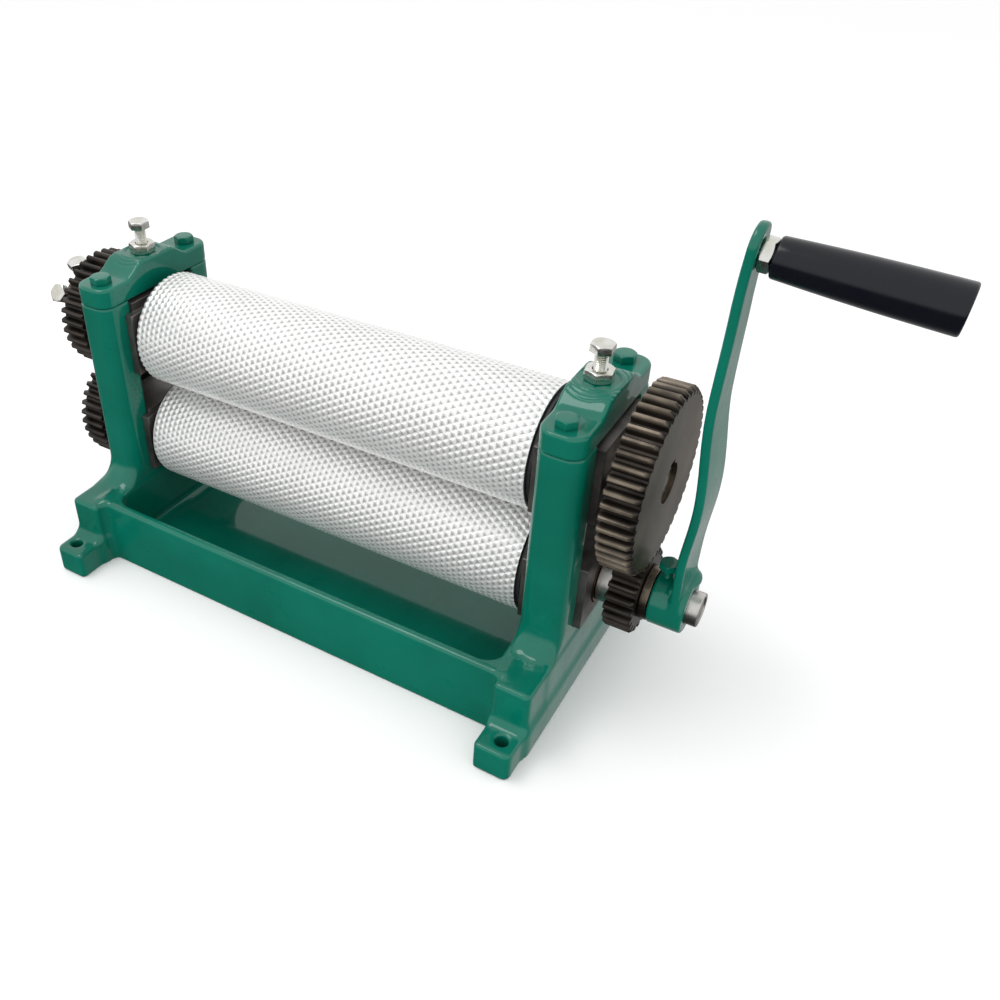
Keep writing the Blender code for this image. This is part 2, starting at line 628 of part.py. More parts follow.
def make_crank_arm(parent):
    tip_r = arm_width(ARM_TIP) / 2
    heights = [0, 14, 27, 40, 52, 65, 78, 90, 105, 120, 135, 150, 165, 180, 195, 210, 225, ARM_TIP]
    levels = [(h, arm_width(h)) for h in heights]
    levels += [(ARM_TIP + tip_r * sin(radians(a)), 2 * tip_r * cos(radians(a))) for a in (22, 44, 64, 82)]
    verts = []
    for height, width in levels:
        middle = arm_offset(height)
        for x in (middle - ARM_THICK / 2, middle + ARM_THICK / 2):
            verts += [(x, -width / 2, height), (x, width / 2, height)]
    faces = [(0, 1, 3, 2)]
    last = 4 * (len(levels) - 1)
    faces.append((last, last + 1, last + 3, last + 2))
    for level in range(len(levels) - 1):
        a = 4 * level
        for i, j in ((0, 1), (1, 3), (3, 2), (2, 0)):
            faces.append((a + i, a + j, a + j + 4, a + i + 4))
    arm = add_object("crank_arm", verts, faces, GREEN, (0, 0, LOWER_Z), parent)
    boss = turned(shaft_profile([(BOSS_X[0], BOSS_R), (BOSS_X[1], 0)]), 32)
    bore = turned(shaft_profile([(BOSS_X[0] - 5, SLEEVE_R + GAP), (BOSS_X[1] + 5, 0)]), 24)
    set_hole = turned(shaft_profile([(SLEEVE_R - 2, 3.2 + GAP), (24, 0)]), 12)
    turn = Matrix.Rotation(radians(SET_SCREW_DEG), 4, "X")
    set_verts = [turn @ Vector(v) + Vector((SET_SCREW_X, 0, 0)) for v in along_z(set_hole[0])]
    eye = turned(shaft_profile([(-12, SPINDLE_R + GAP), (12, 0)]), 16)
    work = [("UNION", *boss), ("DIFFERENCE", *bore), ("DIFFERENCE", set_verts, set_hole[1])]
    work.append(("DIFFERENCE", handle_frame(eye[0]), eye[1]))
    apply_booleans(arm, work)


def handle_frame(verts):
    """Places points made about the X axis on the leaning handle's axis, from the crank's axis."""
    lean = Matrix.Rotation(HANDLE_LEAN, 4, "Y")
    shift = Vector((HANDLE_X, 0, CRANK_LENGTH))
    return [lean @ Vector(v) + shift for v in verts]


def make_handle(crank, grip_parent):
    face = ARM_THICK / 2
    end = GRIP_START + GRIP_LENGTH
    recess_r, recess_depth = GRIP_RECESS
    head = end - recess_depth + GAP
    spindle = shaft_profile([(-face - 1.0, SPINDLE_R), (head, recess_r - 1.2), (end - 1.2, 0)])
    verts, faces = turned(spindle, 20)
    place = (0, 0, LOWER_Z)
    add_object("handle_spindle", handle_frame(verts), faces, ZINC, place, crank, smooth=40)
    flats, height = NUT
    loops = [hexagon(flats, start=radians(30)), circle(SPINDLE_R + GAP, 16)]
    verts, faces = prism(loops, face + 0.5, face + 0.5 + height)
    add_object("handle_nut", handle_frame(verts), faces, ZINC, place, crank, smooth=40)
    profile = [(GRIP_START, SPINDLE_R + GAP), (GRIP_START, GRIP_R[0] - 1.0), (GRIP_START + 1.6, GRIP_R[0])]
    profile += [(end - 1.2, GRIP_R[1]), (end, GRIP_R[1] - 1.0), (end, recess_r)]
    profile += [(end - recess_depth, recess_r), (end - recess_depth, SPINDLE_R + GAP)]
    verts, faces = turned(profile, 24)
    lean = Matrix.Rotation(HANDLE_LEAN, 4, "Y")
    local = [lean @ Vector(v) for v in verts]
    place = (HANDLE_X, 0, LOWER_Z + CRANK_LENGTH)
    add_object("handle_grip", local, faces, GRIP_BLACK, place, grip_parent, smooth=40)


def build():
    clear_scene()
    upper_carriage = joint_empty("upper_carriage_axis", (0, 0, UPPER_Z))
    upper_roller = joint_empty("upper_roller_axis", (0, 0, UPPER_Z))
    lower_roller = joint_empty("lower_roller_axis", (0, 0, LOWER_Z))
    crank = joint_empty("crank_axis", (0, 0, LOWER_Z))
    grip = joint_empty("grip_axis", (HANDLE_X, 0, LOWER_Z + CRANK_LENGTH))
    make_frame()
    for side, label in ((-1, "left"), (1, "right")):
        screw = joint_empty(f"{label}_screw_axis", (side * SCREW_X, 0, UPPER_Z))
        make_cap(side, label)
        make_cap_bolts(side, label)
        make_adjusting_screw(side, label, screw)
        make_block(side, f"{label}_lower_bearing_block", LOWER_Z, LOWER_BLOCK_UP)
        make_bush(side, f"{label}_lower_bush", LOWER_Z)
        make_block(side, f"{label}_upper_bearing_block", UPPER_Z, UPPER_BLOCK_UP, upper_carriage)
        make_bush(side, f"{label}_upper_bush", UPPER_Z, upper_carriage)
    make_upper_roller(upper_roller)
    make_lower_roller(lower_roller)
    make_crank(crank)
    make_handle(crank, grip)


build()
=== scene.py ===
"""Looks for the hand-cranked two-roller embossing mill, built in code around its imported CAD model.

Frame: +X along the rollers towards the crank, -Y the front, +Z up.  Lengths here are in millimetres.
"""

import json
from itertools import product
from math import acos, cos, pi, radians, sin, sqrt, tan

import bmesh
import bpy
import numpy as np
from mathutils import Matrix, Vector
from mathutils.geometry import tessellate_polygon


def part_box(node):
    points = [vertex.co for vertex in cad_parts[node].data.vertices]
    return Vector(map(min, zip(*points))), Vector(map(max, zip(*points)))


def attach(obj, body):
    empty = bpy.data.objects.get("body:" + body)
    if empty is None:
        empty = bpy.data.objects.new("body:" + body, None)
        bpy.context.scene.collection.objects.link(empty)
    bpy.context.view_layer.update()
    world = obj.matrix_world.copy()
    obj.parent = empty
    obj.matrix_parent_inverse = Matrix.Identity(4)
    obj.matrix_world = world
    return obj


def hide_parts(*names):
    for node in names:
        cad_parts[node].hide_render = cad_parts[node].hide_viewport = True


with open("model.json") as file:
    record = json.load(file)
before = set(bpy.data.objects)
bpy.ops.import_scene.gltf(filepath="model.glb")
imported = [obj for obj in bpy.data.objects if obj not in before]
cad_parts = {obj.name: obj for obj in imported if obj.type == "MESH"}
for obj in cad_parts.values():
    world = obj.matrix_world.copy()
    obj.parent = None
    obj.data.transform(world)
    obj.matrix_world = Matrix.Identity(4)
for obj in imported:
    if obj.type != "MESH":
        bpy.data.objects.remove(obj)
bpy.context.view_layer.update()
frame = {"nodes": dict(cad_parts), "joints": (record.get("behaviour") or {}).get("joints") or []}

MM = 0.001
GAP = 0.3


def limits(node):
    """Lowest and highest corner of a CAD node, in millimetres."""
    low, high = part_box(node)
    return np.array(low) / MM, np.array(high) / MM


def span(node, axis=0):
    low, high = limits(node)
    return float(low[axis]), float(high[axis])


def middle(node):
    low, high = limits(node)
    return (low + high) / 2


# Places that come from the CAD model
ROLLER_HALF = span("upper_roller_sleeve")[1]
UPPER_Z = float(middle("upper_roller_sleeve")[2])
LOWER_Z = float(middle("lower_roller_sleeve")[2])
ROLLER_R = span("upper_roller_sleeve", 2)[1] - UPPER_Z
END_OUT, LUG_Y, POST_TOP = (float(v) for v in limits("frame_casting")[1])
CAP_IN, CAP_OUT = span("right_cap")
CAP_BOTTOM, CAP_CROWN = span("right_cap", 2)
POST_FRONT = span("right_cap", 1)[1]
SCREW_X = float(middle("right_adjusting_screw")[0])
SCREW_TIP, SCREW_TOP = span("right_adjusting_screw", 2)
BOLT_Y = float(middle("right_rear_cap_bolt")[1])
CAP_LAND = span("right_front_cap_bolt", 2)[1] - 5.3 - GAP
GRIP_JOINT = next(j for j in frame["joints"] if j["name"] == "grip_spin")
HANDLE_X = GRIP_JOINT["pos_m"][0] / MM
CRANK_LENGTH = GRIP_JOINT["pos_m"][2] / MM - LOWER_Z

# Frame casting
END_IN = 170.0
POST_IN = CAP_IN
POST_OUT = 195.0
POST_CORNER_R = 11.0
FLARE_R = 20.0
WALL_TOP = 52.5
WALL_Y = 87.5
WALL_THICK = 7.0
FLOOR_TOP = 7.0
POCKET_CORNER_R = 14.0
PAD_Y = 96.8
LUG_TOP = 21.2
LUG_HOLE = (184.5, 109.0)
LUG_HOLE_R = 4.5
SLOT_HALF = 33.5
SLOT_FLOOR = 61.2

# Caps
CAP_CROWN_HALF = 14.0
CAP_SLOPE_END = 33.0
SPOT_FACE_R = 13.0
SPOT_FACE_Z = 224.6
TURNED_RINGS = (16.6, 19.4, 22.2)

# Fasteners: across flats and head height
BOLT_HEAD = (13.0, 5.3)
SCREW_HEAD = (13.4, 5.6)
LOCK_NUT = (16.6, 7.2)
HANDLE_NUT = (16.5, 6.6)
BOLT_R = 4.0
SCREW_R = 4.2
SCREW_PITCH = 1.25

# Gears
MODULE = 2.5
KEY_WIDTH = 7.0
SEAT_R = 12.7
KEY_TOP = SEAT_R + 2.6
JOURNAL_R = 15.0
JOURNAL_END = 200.4
CORE_R = 20.0
SLEEVE_R = 11.3
STUB_R = 8.5

# Roller pattern: hexagonal cells of three rhombic facets
CELLS_AROUND = 53
EMBOSS_DEPTH = 1.1

# Brightness of the studio dome
DOME = {"front_below": 0.05, "back_below": 0.42, "overhead": 1.0}

# Crank and handle
ARM_THICK = 5.6
ARM_TIP = 238.5
HANDLE_LEAN = radians(4.0)
GRIP_START = 10.1
GRIP_LENGTH = 89.4
GRIP_R = (10.9, 13.2)
GRIP_RECESS = (7.2, 6.0)
SPINDLE_R = 4.2
PINION_END = 229.0
BOSS_X = (235.0, 257.5)
BOSS_R = 18.5
TIMING_SCREW_DEG = (104.0, 149.0)
TIMING_SCREW_HEAD_R = 33.0
SET_SCREW_X = 240.5
SET_SCREW_DEG = 4.0
TEETH = {"timing": 34, "drive": 46, "pinion": 22}


# ---------------------------------------------------------------- materials


def add_node(tree, kind, inputs=None, **settings):
    """A shader node; an input value that is a socket is linked, any other value is set."""
    node = tree.nodes.new(kind)
    for key, value in settings.items():
        setattr(node, key, value)
    for key, value in (inputs or {}).items():
        if isinstance(value, bpy.types.NodeSocket):
            tree.links.new(value, node.inputs[key])
        else:
            node.inputs[key].default_value = value
    return node


class Finish:
    """A Principled material and the short-hands that its procedural detail is built from."""

    def __init__(self, name, colour, metallic, roughness, **sockets):
        self.material = bpy.data.materials.new(name)
        self.material.use_nodes = True
        self.tree = self.material.node_tree
        self.shader = self.tree.nodes["Principled BSDF"]
        self.shader.inputs["Base Color"].default_value = (*colour, 1)
        self.shader.inputs["Metallic"].default_value = metallic
        self.shader.inputs["Roughness"].default_value = roughness
        for key, value in sockets.items():
            self.shader.inputs[key.replace("_", " ")].default_value = value
        self.coords = add_node(self.tree, "ShaderNodeTexCoord").outputs["Object"]

    def stretched(self, scale):
        mapping = add_node(self.tree, "ShaderNodeMapping", {"Vector": self.coords, "Scale": scale})
        return mapping.outputs["Vector"]

    def noise(self, scale, detail=2.0, vector=None, distortion=0.0):
        inputs = {"Vector": vector or self.coords, "Scale": scale, "Detail": detail, "Distortion": distortion}
        return add_node(self.tree, "ShaderNodeTexNoise", inputs).outputs["Fac"]

    def spots(self, scale, size, vector=None):
        """1 at the middle of scattered round spots, falling to 0 at their size."""
        inputs = {"Vector": vector or self.coords, "Scale": scale}
        distance = add_node(self.tree, "ShaderNodeTexVoronoi", inputs).outputs["Distance"]
        return self.remap(distance, 0.0, size, 1.0, 0.0)

    def remap(self, value, low, high, to_low, to_high):
        inputs = {"Value": value, "From Min": low, "From Max": high, "To Min": to_low, "To Max": to_high}
        return add_node(self.tree, "ShaderNodeMapRange", inputs).outputs["Result"]

    def maths(self, operation, a, b):
        return add_node(self.tree, "ShaderNodeMath", {0: a, 1: b}, operation=operation).outputs[0]

    def blend(self, factor, first, second):
        inputs = {"Factor": factor, "A": first, "B": second}
        node = self.tree.nodes.new("ShaderNodeMix")
        node.data_type = "RGBA"
        for key, value in inputs.items():
            index = {"Factor": 0, "A": 6, "B": 7}[key]
            if isinstance(value, bpy.types.NodeSocket):
                self.tree.links.new(value, node.inputs[index])
            else:
                node.inputs[index].default_value = value if index == 0 else (*value, 1)
        return node.outputs[2]

    def axis_distance(self, axis_z):
        """Distance in metres from the line through (y, z) = (0, axis_z) along X."""
        parts = add_node(self.tree, "ShaderNodeSeparateXYZ", {0: self.coords})
        height = self.maths("SUBTRACT", parts.outputs["Z"], axis_z * MM)
        across = self.maths("MULTIPLY", parts.outputs["Y"], parts.outputs["Y"])
        square = self.maths("MULTIPLY", height, height)
        return self.maths("SQRT", self.maths("ADD", across, square), 0.0)

    def rings(self, axis_z, scale):
        """Fine noise that changes only with the distance from a piece's axis."""
        inputs = {"W": self.axis_distance(axis_z), "Scale": scale, "Detail": 2.0}
        return add_node(self.tree, "ShaderNodeTexNoise", inputs, noise_dimensions="1D").outputs["Fac"]

    def colour(self, socket):
        self.tree.links.new(socket, self.shader.inputs["Base Color"])

    def roughness(self, socket):
        self.tree.links.new(socket, self.shader.inputs["Roughness"])

    def bump(self, height, distance_mm, strength=1.0):
        inputs = {"Height": height, "Distance": distance_mm * MM, "Strength": strength}
        node = add_node(self.tree, "ShaderNodeBump", inputs)
        self.tree.links.new(node.outputs["Normal"], self.shader.inputs["Normal"])


def green_enamel():
    """Thick gloss enamel brushed over a sand casting: orange peel, soft lumps and pimples."""
    gloss = {"Specular_IOR_Level": 0.05, "Coat_Weight": 0.85, "Coat_Roughness": 0.06}
    look = Finish("green_enamel", (0.002, 0.145, 0.096), 0.0, 0.34, **gloss)
    tone = look.noise(14, 3)
    look.colour(look.blend(look.remap(tone, 0.35, 0.65, 0, 1), (0.0005, 0.116, 0.076), (0.001, 0.146, 0.098)))
    look.roughness(look.remap(look.noise(60, 3), 0.3, 0.7, 0.26, 0.4))
    patches = look.remap(look.noise(24, 1), 0.52, 0.66, 0, 1)
    dots = look.spots(330, 0.42)
    pimples = look.maths("MULTIPLY", look.maths("MULTIPLY", dots, dots), patches)
    peel = look.maths("MULTIPLY", look.noise(210, 2), 0.22)
    lumps = look.maths("ADD", look.maths("MULTIPLY", look.noise(48, 2), 0.9), peel)
    look.bump(look.maths("ADD", lumps, look.maths("MULTIPLY", pimples, 0.3)), 0.55, 0.85)
    return look.material


def roller_aluminium(level, axis_z):
    """Bright rolled-in facets with a light satin grain; the bottoms of the cells are coloured dark grey as painted
    shade.
    """
    look = Finish(f"roller_aluminium_{level}", (0.89, 0.89, 0.885), 0.5, 0.3)
    cloud = look.remap(look.noise(30, 3), 0.35, 0.65, 0, 1)
    bright = look.blend(cloud, (0.84, 0.84, 0.835), (0.89, 0.89, 0.885))
    pit = (ROLLER_R - EMBOSS_DEPTH) * MM
    # Painted shade: the colour falls to dark grey towards the bottoms of the pits
    painted_pit_shade = look.remap(look.axis_distance(axis_z), pit, pit + 0.48 * EMBOSS_DEPTH * MM, 0, 1)
    look.colour(look.blend(painted_pit_shade, (0.24, 0.24, 0.235), bright))
    look.roughness(look.remap(look.noise(420, 3), 0.3, 0.7, 0.24, 0.36))
    look.bump(look.noise(2600, 2, look.stretched((0.25, 1, 1))), 0.03, 0.5)
    return look.material


def roller_end_metal():
    """Faced end of a roller sleeve, with fine turning rings."""
    look = Finish("roller_end_metal", (0.72, 0.72, 0.71), 1.0, 0.34)
    rings = look.noise(9000, 1, look.stretched((0.02, 1, 1)))
    look.roughness(look.remap(rings, 0.3, 0.7, 0.28, 0.42))
    look.bump(rings, 0.02, 0.4)
    return look.material


def black_ring():
    look = Finish("black_ring", (0.018, 0.018, 0.02), 0.0, 0.5)
    look.roughness(look.remap(look.noise(220, 3), 0.3, 0.7, 0.4, 0.62))
    look.bump(look.noise(700, 2), 0.05, 0.4)
    return look.material


def gear_steel(name, axis_z, root_r, tip_r, dusty):
    """Oily dark gear teeth: the tips are rubbed lighter, and the roots stay dark as painted shade in the gaps between
    teeth.
    """
    look = Finish(name, (0.05, 0.04, 0.033), 0.6, 0.4)
    radius = look.axis_distance(axis_z)
    # Lighter towards the tooth tips: partly rubbed wear, partly painted shade that keeps the gaps dark
    tip = look.remap(radius, (root_r + 0.5 * (tip_r - root_r)) * MM, (tip_r - 0.5) * MM, 0, 1)
    patchy = look.remap(look.noise(45, 4), 0.34, 0.64, 0.2, 1)
    body = look.blend(look.remap(look.noise(40, 4), 0.35, 0.7, 0, 1), (0.012, 0.009, 0.008), (0.045, 0.036, 0.028))
    rubbed = (0.25, 0.205, 0.155) if dusty else (0.055, 0.045, 0.038)
    look.colour(look.blend(look.maths("MULTIPLY", tip, patchy), body, rubbed))
    look.roughness(look.remap(look.noise(130, 3), 0.3, 0.7, 0.28, 0.5))
    grain = look.noise(900, 2, look.stretched((1, 0.12, 0.12)))
    look.bump(grain, 0.05, 0.5)
    return look.material


def gear_face(name, axis_z, dusty):
    """Faced side of a gear: fine turning rings under a brown oil film."""
    tones = ((0.08, 0.062, 0.042), (0.16, 0.13, 0.093)) if dusty else ((0.022, 0.018, 0.015), (0.05, 0.043, 0.037))
    look = Finish(name, tones[0], 0.8, 0.36)
    look.colour(look.blend(look.remap(look.noise(26, 3), 0.36, 0.66, 0, 1), *tones))
    rings = look.rings(axis_z, 2600)
    look.roughness(look.remap(rings, 0.3, 0.7, 0.3, 0.44))
    look.bump(rings, 0.02, 0.5)
    return look.material


def block_steel():
    """Milled bearing block, dull grey-brown with cutter lines."""
    look = Finish("block_steel", (0.15, 0.135, 0.125), 0.85, 0.45)
    lines = look.noise(1500, 2, look.stretched((1, 0.05, 1)))
    smear = look.remap(look.noise(35, 4), 0.35, 0.68, 0, 1)
    look.colour(look.blend(smear, (0.10, 0.09, 0.082), (0.27, 0.25, 0.235)))
    look.roughness(look.remap(lines, 0.3, 0.7, 0.32, 0.55))
    look.bump(lines, 0.04, 0.5)
    return look.material


def turned_steel(name, colour):
    """Bright turned steel with fine rings and a thin brown oil film."""
    look = Finish(name, colour, 1.0, 0.3)
    rings = look.noise(5200, 1, look.stretched((1, 0.03, 0.03)))
    film = look.remap(look.noise(45, 4), 0.42, 0.72, 0, 1)
    dark = tuple(c * 0.45 for c in colour)
    look.colour(look.blend(film, colour, dark))
    look.roughness(look.remap(rings, 0.3, 0.7, 0.22, 0.42))
    look.bump(rings, 0.025, 0.5)
    return look.material


def zinc_plate():
    """Bright zinc with a faint yellow passivated tint in patches."""
    look = Finish("zinc_plate", (0.76, 0.76, 0.72), 1.0, 0.24)
    tint = look.remap(look.noise(110, 2), 0.4, 0.66, 0, 1)
    look.colour(look.blend(tint, (0.74, 0.74, 0.72), (0.62, 0.61, 0.53)))
    look.roughness(look.remap(look.noise(380, 3), 0.3, 0.7, 0.17, 0.33))
    look.bump(look.noise(900, 2), 0.02, 0.5)
    return look.material


def bush_bronze():
    look = Finish("bush_bronze", (0.14, 0.09, 0.045), 1.0, 0.4)
    stain = look.remap(look.noise(90, 3), 0.4, 0.7, 0, 1)
    look.colour(look.blend(stain, (0.2, 0.13, 0.065), (0.07, 0.045, 0.025)))
    look.roughness(look.remap(look.noise(400, 2), 0.3, 0.7, 0.28, 0.46))
    return look.material


def grip_plastic():
    """Polished black plastic, faintly blue, with the soft waviness of a moulding."""
    look = Finish("grip_plastic", (0.004, 0.0045, 0.008), 0.0, 0.18, Specular_IOR_Level=0.36)
    look.roughness(look.remap(look.noise(90, 3), 0.3, 0.7, 0.13, 0.24))
    look.bump(look.noise(70, 1), 0.12, 0.6)
    return look.material


# ---------------------------------------------------------------- mesh helpers


def new_object(name, verts, faces, materials, sharp_deg=30.0):
    """An object from millimetre points, shaded smooth except across edges sharper than sharp_deg."""
    mesh = bpy.data.meshes.new(name)
    mesh.from_pydata(np.asarray(verts, float) * MM, [], [tuple(f) for f in faces])
    for material in materials if isinstance(materials, (list, tuple)) else [materials]:
        mesh.materials.append(material)
    mesh.shade_smooth()
    if sharp_deg:
        mesh.set_sharp_from_angle(angle=radians(sharp_deg))
    obj = bpy.data.objects.new(name, mesh)
    bpy.context.scene.collection.objects.link(obj)
    return obj


def soften(obj, width, segments=2, angle_deg=30.0, weld=False):
    """Small machined or moulded edge round, kept as a modifier."""
    if weld:
        join = obj.modifiers.new("join", "WELD")
        join.merge_threshold = 0.00001
    bevel = obj.modifiers.new("edges", "BEVEL")
    bevel.width = width * MM
    bevel.segments = segments
    bevel.limit_method = "ANGLE"
    bevel.angle_limit = radians(angle_deg)
    bevel.harden_normals = True
    bevel.use_clamp_overlap = True
    return obj


def fit(obj, body, slot, *nodes):
    """Ties a finished piece to its body and hides the CAD nodes that it stands for; the slot argument is not used."""
    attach(obj, body)
    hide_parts(*nodes)
    return obj


def angles(count):
    return np.arange(count) * 2 * pi / count


def ring_stack(sections, count, closed=False):
    """A surface through rings about Z; a section is (height, radius), each one value or one per angle.

    The ends are capped, or joined to each other when closed, which makes a tube.
    """
    turn = angles(count)
    verts = []
    for height, radius in sections:
        heights = np.broadcast_to(height, (count,))
        radii = np.broadcast_to(radius, (count,))
        verts.append(np.stack([radii * np.cos(turn), radii * np.sin(turn), heights], 1))
    faces = []
    for i in range(len(sections) if closed else len(sections) - 1):
        a = i * count
        b = (i + 1) % len(sections) * count
        for k in range(count):
            n = (k + 1) % count
            faces.append((a + k, b + k, b + n, a + n))
    if not closed:
        last = (len(sections) - 1) * count
        faces.append(tuple(range(count)))
        faces.append(tuple(reversed(range(last, last + count))))
    return np.concatenate(verts), faces


def z_to_x(verts):
    """Turns points made about +Z to lie about +X."""
    return np.stack([verts[:, 2], verts[:, 0], verts[:, 1]], 1)


def lathe(name, profile, axis_z, material, count=96, closed=False, edge=0.4):
    """A turned piece on the X axis at a height, from (x, radius) steps that run towards -x."""
    verts, faces = ring_stack(profile, count, closed)
    verts = z_to_x(verts) + [0, 0, axis_z]
    obj = new_object(name, verts, faces, material)
    if edge:
        soften(obj, edge)
    return obj


def tube(low, high, outer, inner):
    """Profile of a plain ring between two x values, for lathe with closed=True."""
    return [(high, inner), (high, outer), (low, outer), (low, inner)]


def hexagon_radius(flats, count):
    """Radius of a hexagon at each of count angles, with its first corner 30 degrees round."""
    turn = (angles(count) + radians(30)) % radians(60) - radians(30)
    return flats / 2 / np.cos(turn)


def bevel_sharp(mesh, offset, keep):
    """Rounds the sharp edges of a mesh whose two ends both satisfy keep(vertex)."""
    bm = bmesh.new()
    bm.from_mesh(mesh)
    chosen = [e for e in bm.edges if len(e.link_faces) == 2 and e.calc_face_angle() > radians(24)]
    chosen = [e for e in chosen if all(keep(v.co) for v in e.verts)]
    bmesh.ops.bevel(bm, geom=chosen, offset=offset * MM, segments=2, profile=0.5, affect="EDGES")
    bm.to_mesh(mesh)
    bm.free()


def finish_hexagon(obj, keep, place, turn, start_deg):
    """Rounds the chosen sharp edges of a bolt or nut and puts it in its place."""
    bevel_sharp(obj.data, 0.22, keep)
    obj.data.shade_smooth()
    obj.data.set_sharp_from_angle(angle=radians(38))
    spin = Matrix.Rotation(radians(start_deg), 4, "Z")
    obj.data.transform(Matrix.Translation(Vector(place) * MM) @ (turn or Matrix()) @ spin)
    return obj


def fastener_sections(head, shank_r, length, pitch=None, count=96):
    """Rings of a hexagon-head bolt from its chamfered top down to the end of its shank."""
    flats, height = head
    corner = hexagon_radius(flats, count)
    top_r = flats / 2 * 0.95
    chamfer = height - (corner - top_r) * tan(radians(30))
    sections = [(height, top_r * 0.35), (height, top_r), (chamfer, corner), (0.0, corner), (0.0, shank_r)]
    if pitch is None:
        return sections + [(0.6 - length, shank_r), (-length, shank_r - 0.6)]
    depth = 0.6 * pitch
    steps = 8
    turns = int((length - 1.6) / pitch)
    for i in range(turns * steps + 1):
        drop = -0.8 - i * pitch / steps
        phase = (i / steps + angles(count) / (2 * pi)) % 1.0
        sections.append((drop, shank_r - depth * np.abs(2 * phase - 1)))
    end = -0.8 - turns * pitch
    return sections + [(end - 0.2, shank_r - depth), (-length, shank_r - depth - 0.3)]


def fastener(name, head, shank_r, length, place, material, pitch=None, turn=None, start_deg=0.0):
    """A bolt with its head's underside at place, standing up along +Z unless turned."""
    verts, faces = ring_stack(fastener_sections(head, shank_r, length, pitch), 96)
    obj = new_object(name, verts, faces, material, sharp_deg=0)
    return finish_hexagon(obj, lambda co: co.z > -0.0001, place, turn, start_deg)


def nut(name, size, bore, place, material, turn=None, start_deg=0.0):
    """A hexagon nut chamfered on both faces, its lower face at place."""
    flats, height = size
    corner = hexagon_radius(flats, 96)
    face_r = flats / 2 * 0.95
    chamfer = (corner - face_r) * tan(radians(30))
    sections = [(height - 0.7, bore), (height, bore + 0.7), (height, face_r), (height - chamfer, corner)]
    sections += [(chamfer, corner), (0.0, face_r), (0.0, bore + 0.7), (0.7, bore)]
    verts, faces = ring_stack(sections, 96, closed=True)
    obj = new_object(name, verts, faces, material, sharp_deg=0)
    return finish_hexagon(obj, lambda co: True, place, turn, start_deg)


# ---------------------------------------------------------------- solid shapes as distance fields


def both(a, b, radius):
    """Where two shapes overlap; the edge between them is rounded."""
    return np.minimum(np.maximum(a, b), -radius) + np.hypot(np.maximum(a + radius, 0), np.maximum(b + radius, 0))


def either(a, b, radius):
    """Two shapes together, with a fillet between them."""
    return np.maximum(np.minimum(a, b), radius) - np.hypot(np.maximum(radius - a, 0), np.maximum(radius - b, 0))


def without(a, b, radius):
    """The first shape less the second."""
    return both(a, -b, radius)


def rounded_plan(x, y, half_x, half_y, radius):
    u = np.abs(x) - half_x + radius
    v = np.abs(y) - half_y + radius
    return np.minimum(np.maximum(u, v), 0) + np.hypot(np.maximum(u, 0), np.maximum(v, 0)) - radius


def grid_lines(*stretches):
    """Grid coordinates through (start, end, step) stretches that follow one another."""
    lines = []
    for start, end, step in stretches:
        count = max(round((end - start) / step), 1)
        lines += list(np.linspace(start, end, count, endpoint=False))
    return np.array(lines + [stretches[-1][1]])


def mirrored(lines):
    """Grid coordinates on both sides of 0 from those on the plus side, which start at 0."""
    return np.concatenate([-lines[:0:-1], lines])


def surface_nets(values, lines):
    """Quads over the zero surface of a grid of distances: one vertex in each cell it crosses."""
    inside = values < 0
    corners = [inside[tuple(slice(o, o - 1 or None) for o in offset)] for offset in product((0, 1), repeat=3)]
    mixed = np.logical_or.reduce(corners) & ~np.logical_and.reduce(corners)
    cells = np.argwhere(mixed)
    total = np.zeros((len(cells), 3))
    crossings = np.zeros(len(cells))
    for axis in range(3):
        for i, j in product((0, 1), repeat=2):
            start = cells.copy()
            start[:, (axis + 1) % 3] += i
            start[:, (axis + 2) % 3] += j
            stop = start.copy()
            stop[:, axis] += 1
            here = values[tuple(start.T)]
            there = values[tuple(stop.T)]
            crossed = (here < 0) != (there < 0)
            point = start[crossed].astype(float)
            point[:, axis] += here[crossed] / (here[crossed] - there[crossed])
            total[crossed] += point
            crossings[crossed] += 1
    points = total / crossings[:, None]
    verts = np.stack([np.interp(points[:, a], np.arange(len(lines[a])), lines[a]) for a in range(3)], 1)
    number = np.full(mixed.shape, -1)
    number[mixed] = np.arange(len(cells))
    faces = []
    for axis in range(3):
        head = [slice(None)] * 3
        tail = [slice(None)] * 3
        head[axis] = slice(0, -1)
        tail[axis] = slice(1, None)
        edges = np.argwhere(inside[tuple(head)] != inside[tuple(tail)])
        u = (axis + 1) % 3
        v = (axis + 2) % 3
        clear = (edges[:, u] > 0) & (edges[:, v] > 0)
        clear &= (edges[:, u] < mixed.shape[u]) & (edges[:, v] < mixed.shape[v])
        edges = edges[clear]
        leaving = inside[tuple(edges.T)]
        quad = []
        for du, dv in ((0, 0), (1, 0), (1, 1), (0, 1)):
            cell = edges.copy()
            cell[:, u] -= du
            cell[:, v] -= dv
            quad.append(number[tuple(cell.T)])
        quad = np.stack(quad, 1)
        quad[~leaving] = quad[~leaving][:, ::-1]
        faces.append(quad)
    return verts, np.concatenate(faces)


def solid(name, field, lines, material, offset=(0.0, 0.0, 0.0), sharp_deg=0.0):
    """An object over a distance field that is sampled on grid lines along x, y and z."""
    x, y, z = np.meshgrid(*lines, indexing="ij", sparse=True)
    values = np.broadcast_to(field(x, y, z), [len(line) for line in lines])
    verts, faces = surface_nets(np.ascontiguousarray(values), lines)
    return new_object(name, verts + np.array(offset), faces, material, sharp_deg)


# ---------------------------------------------------------------- frame and caps


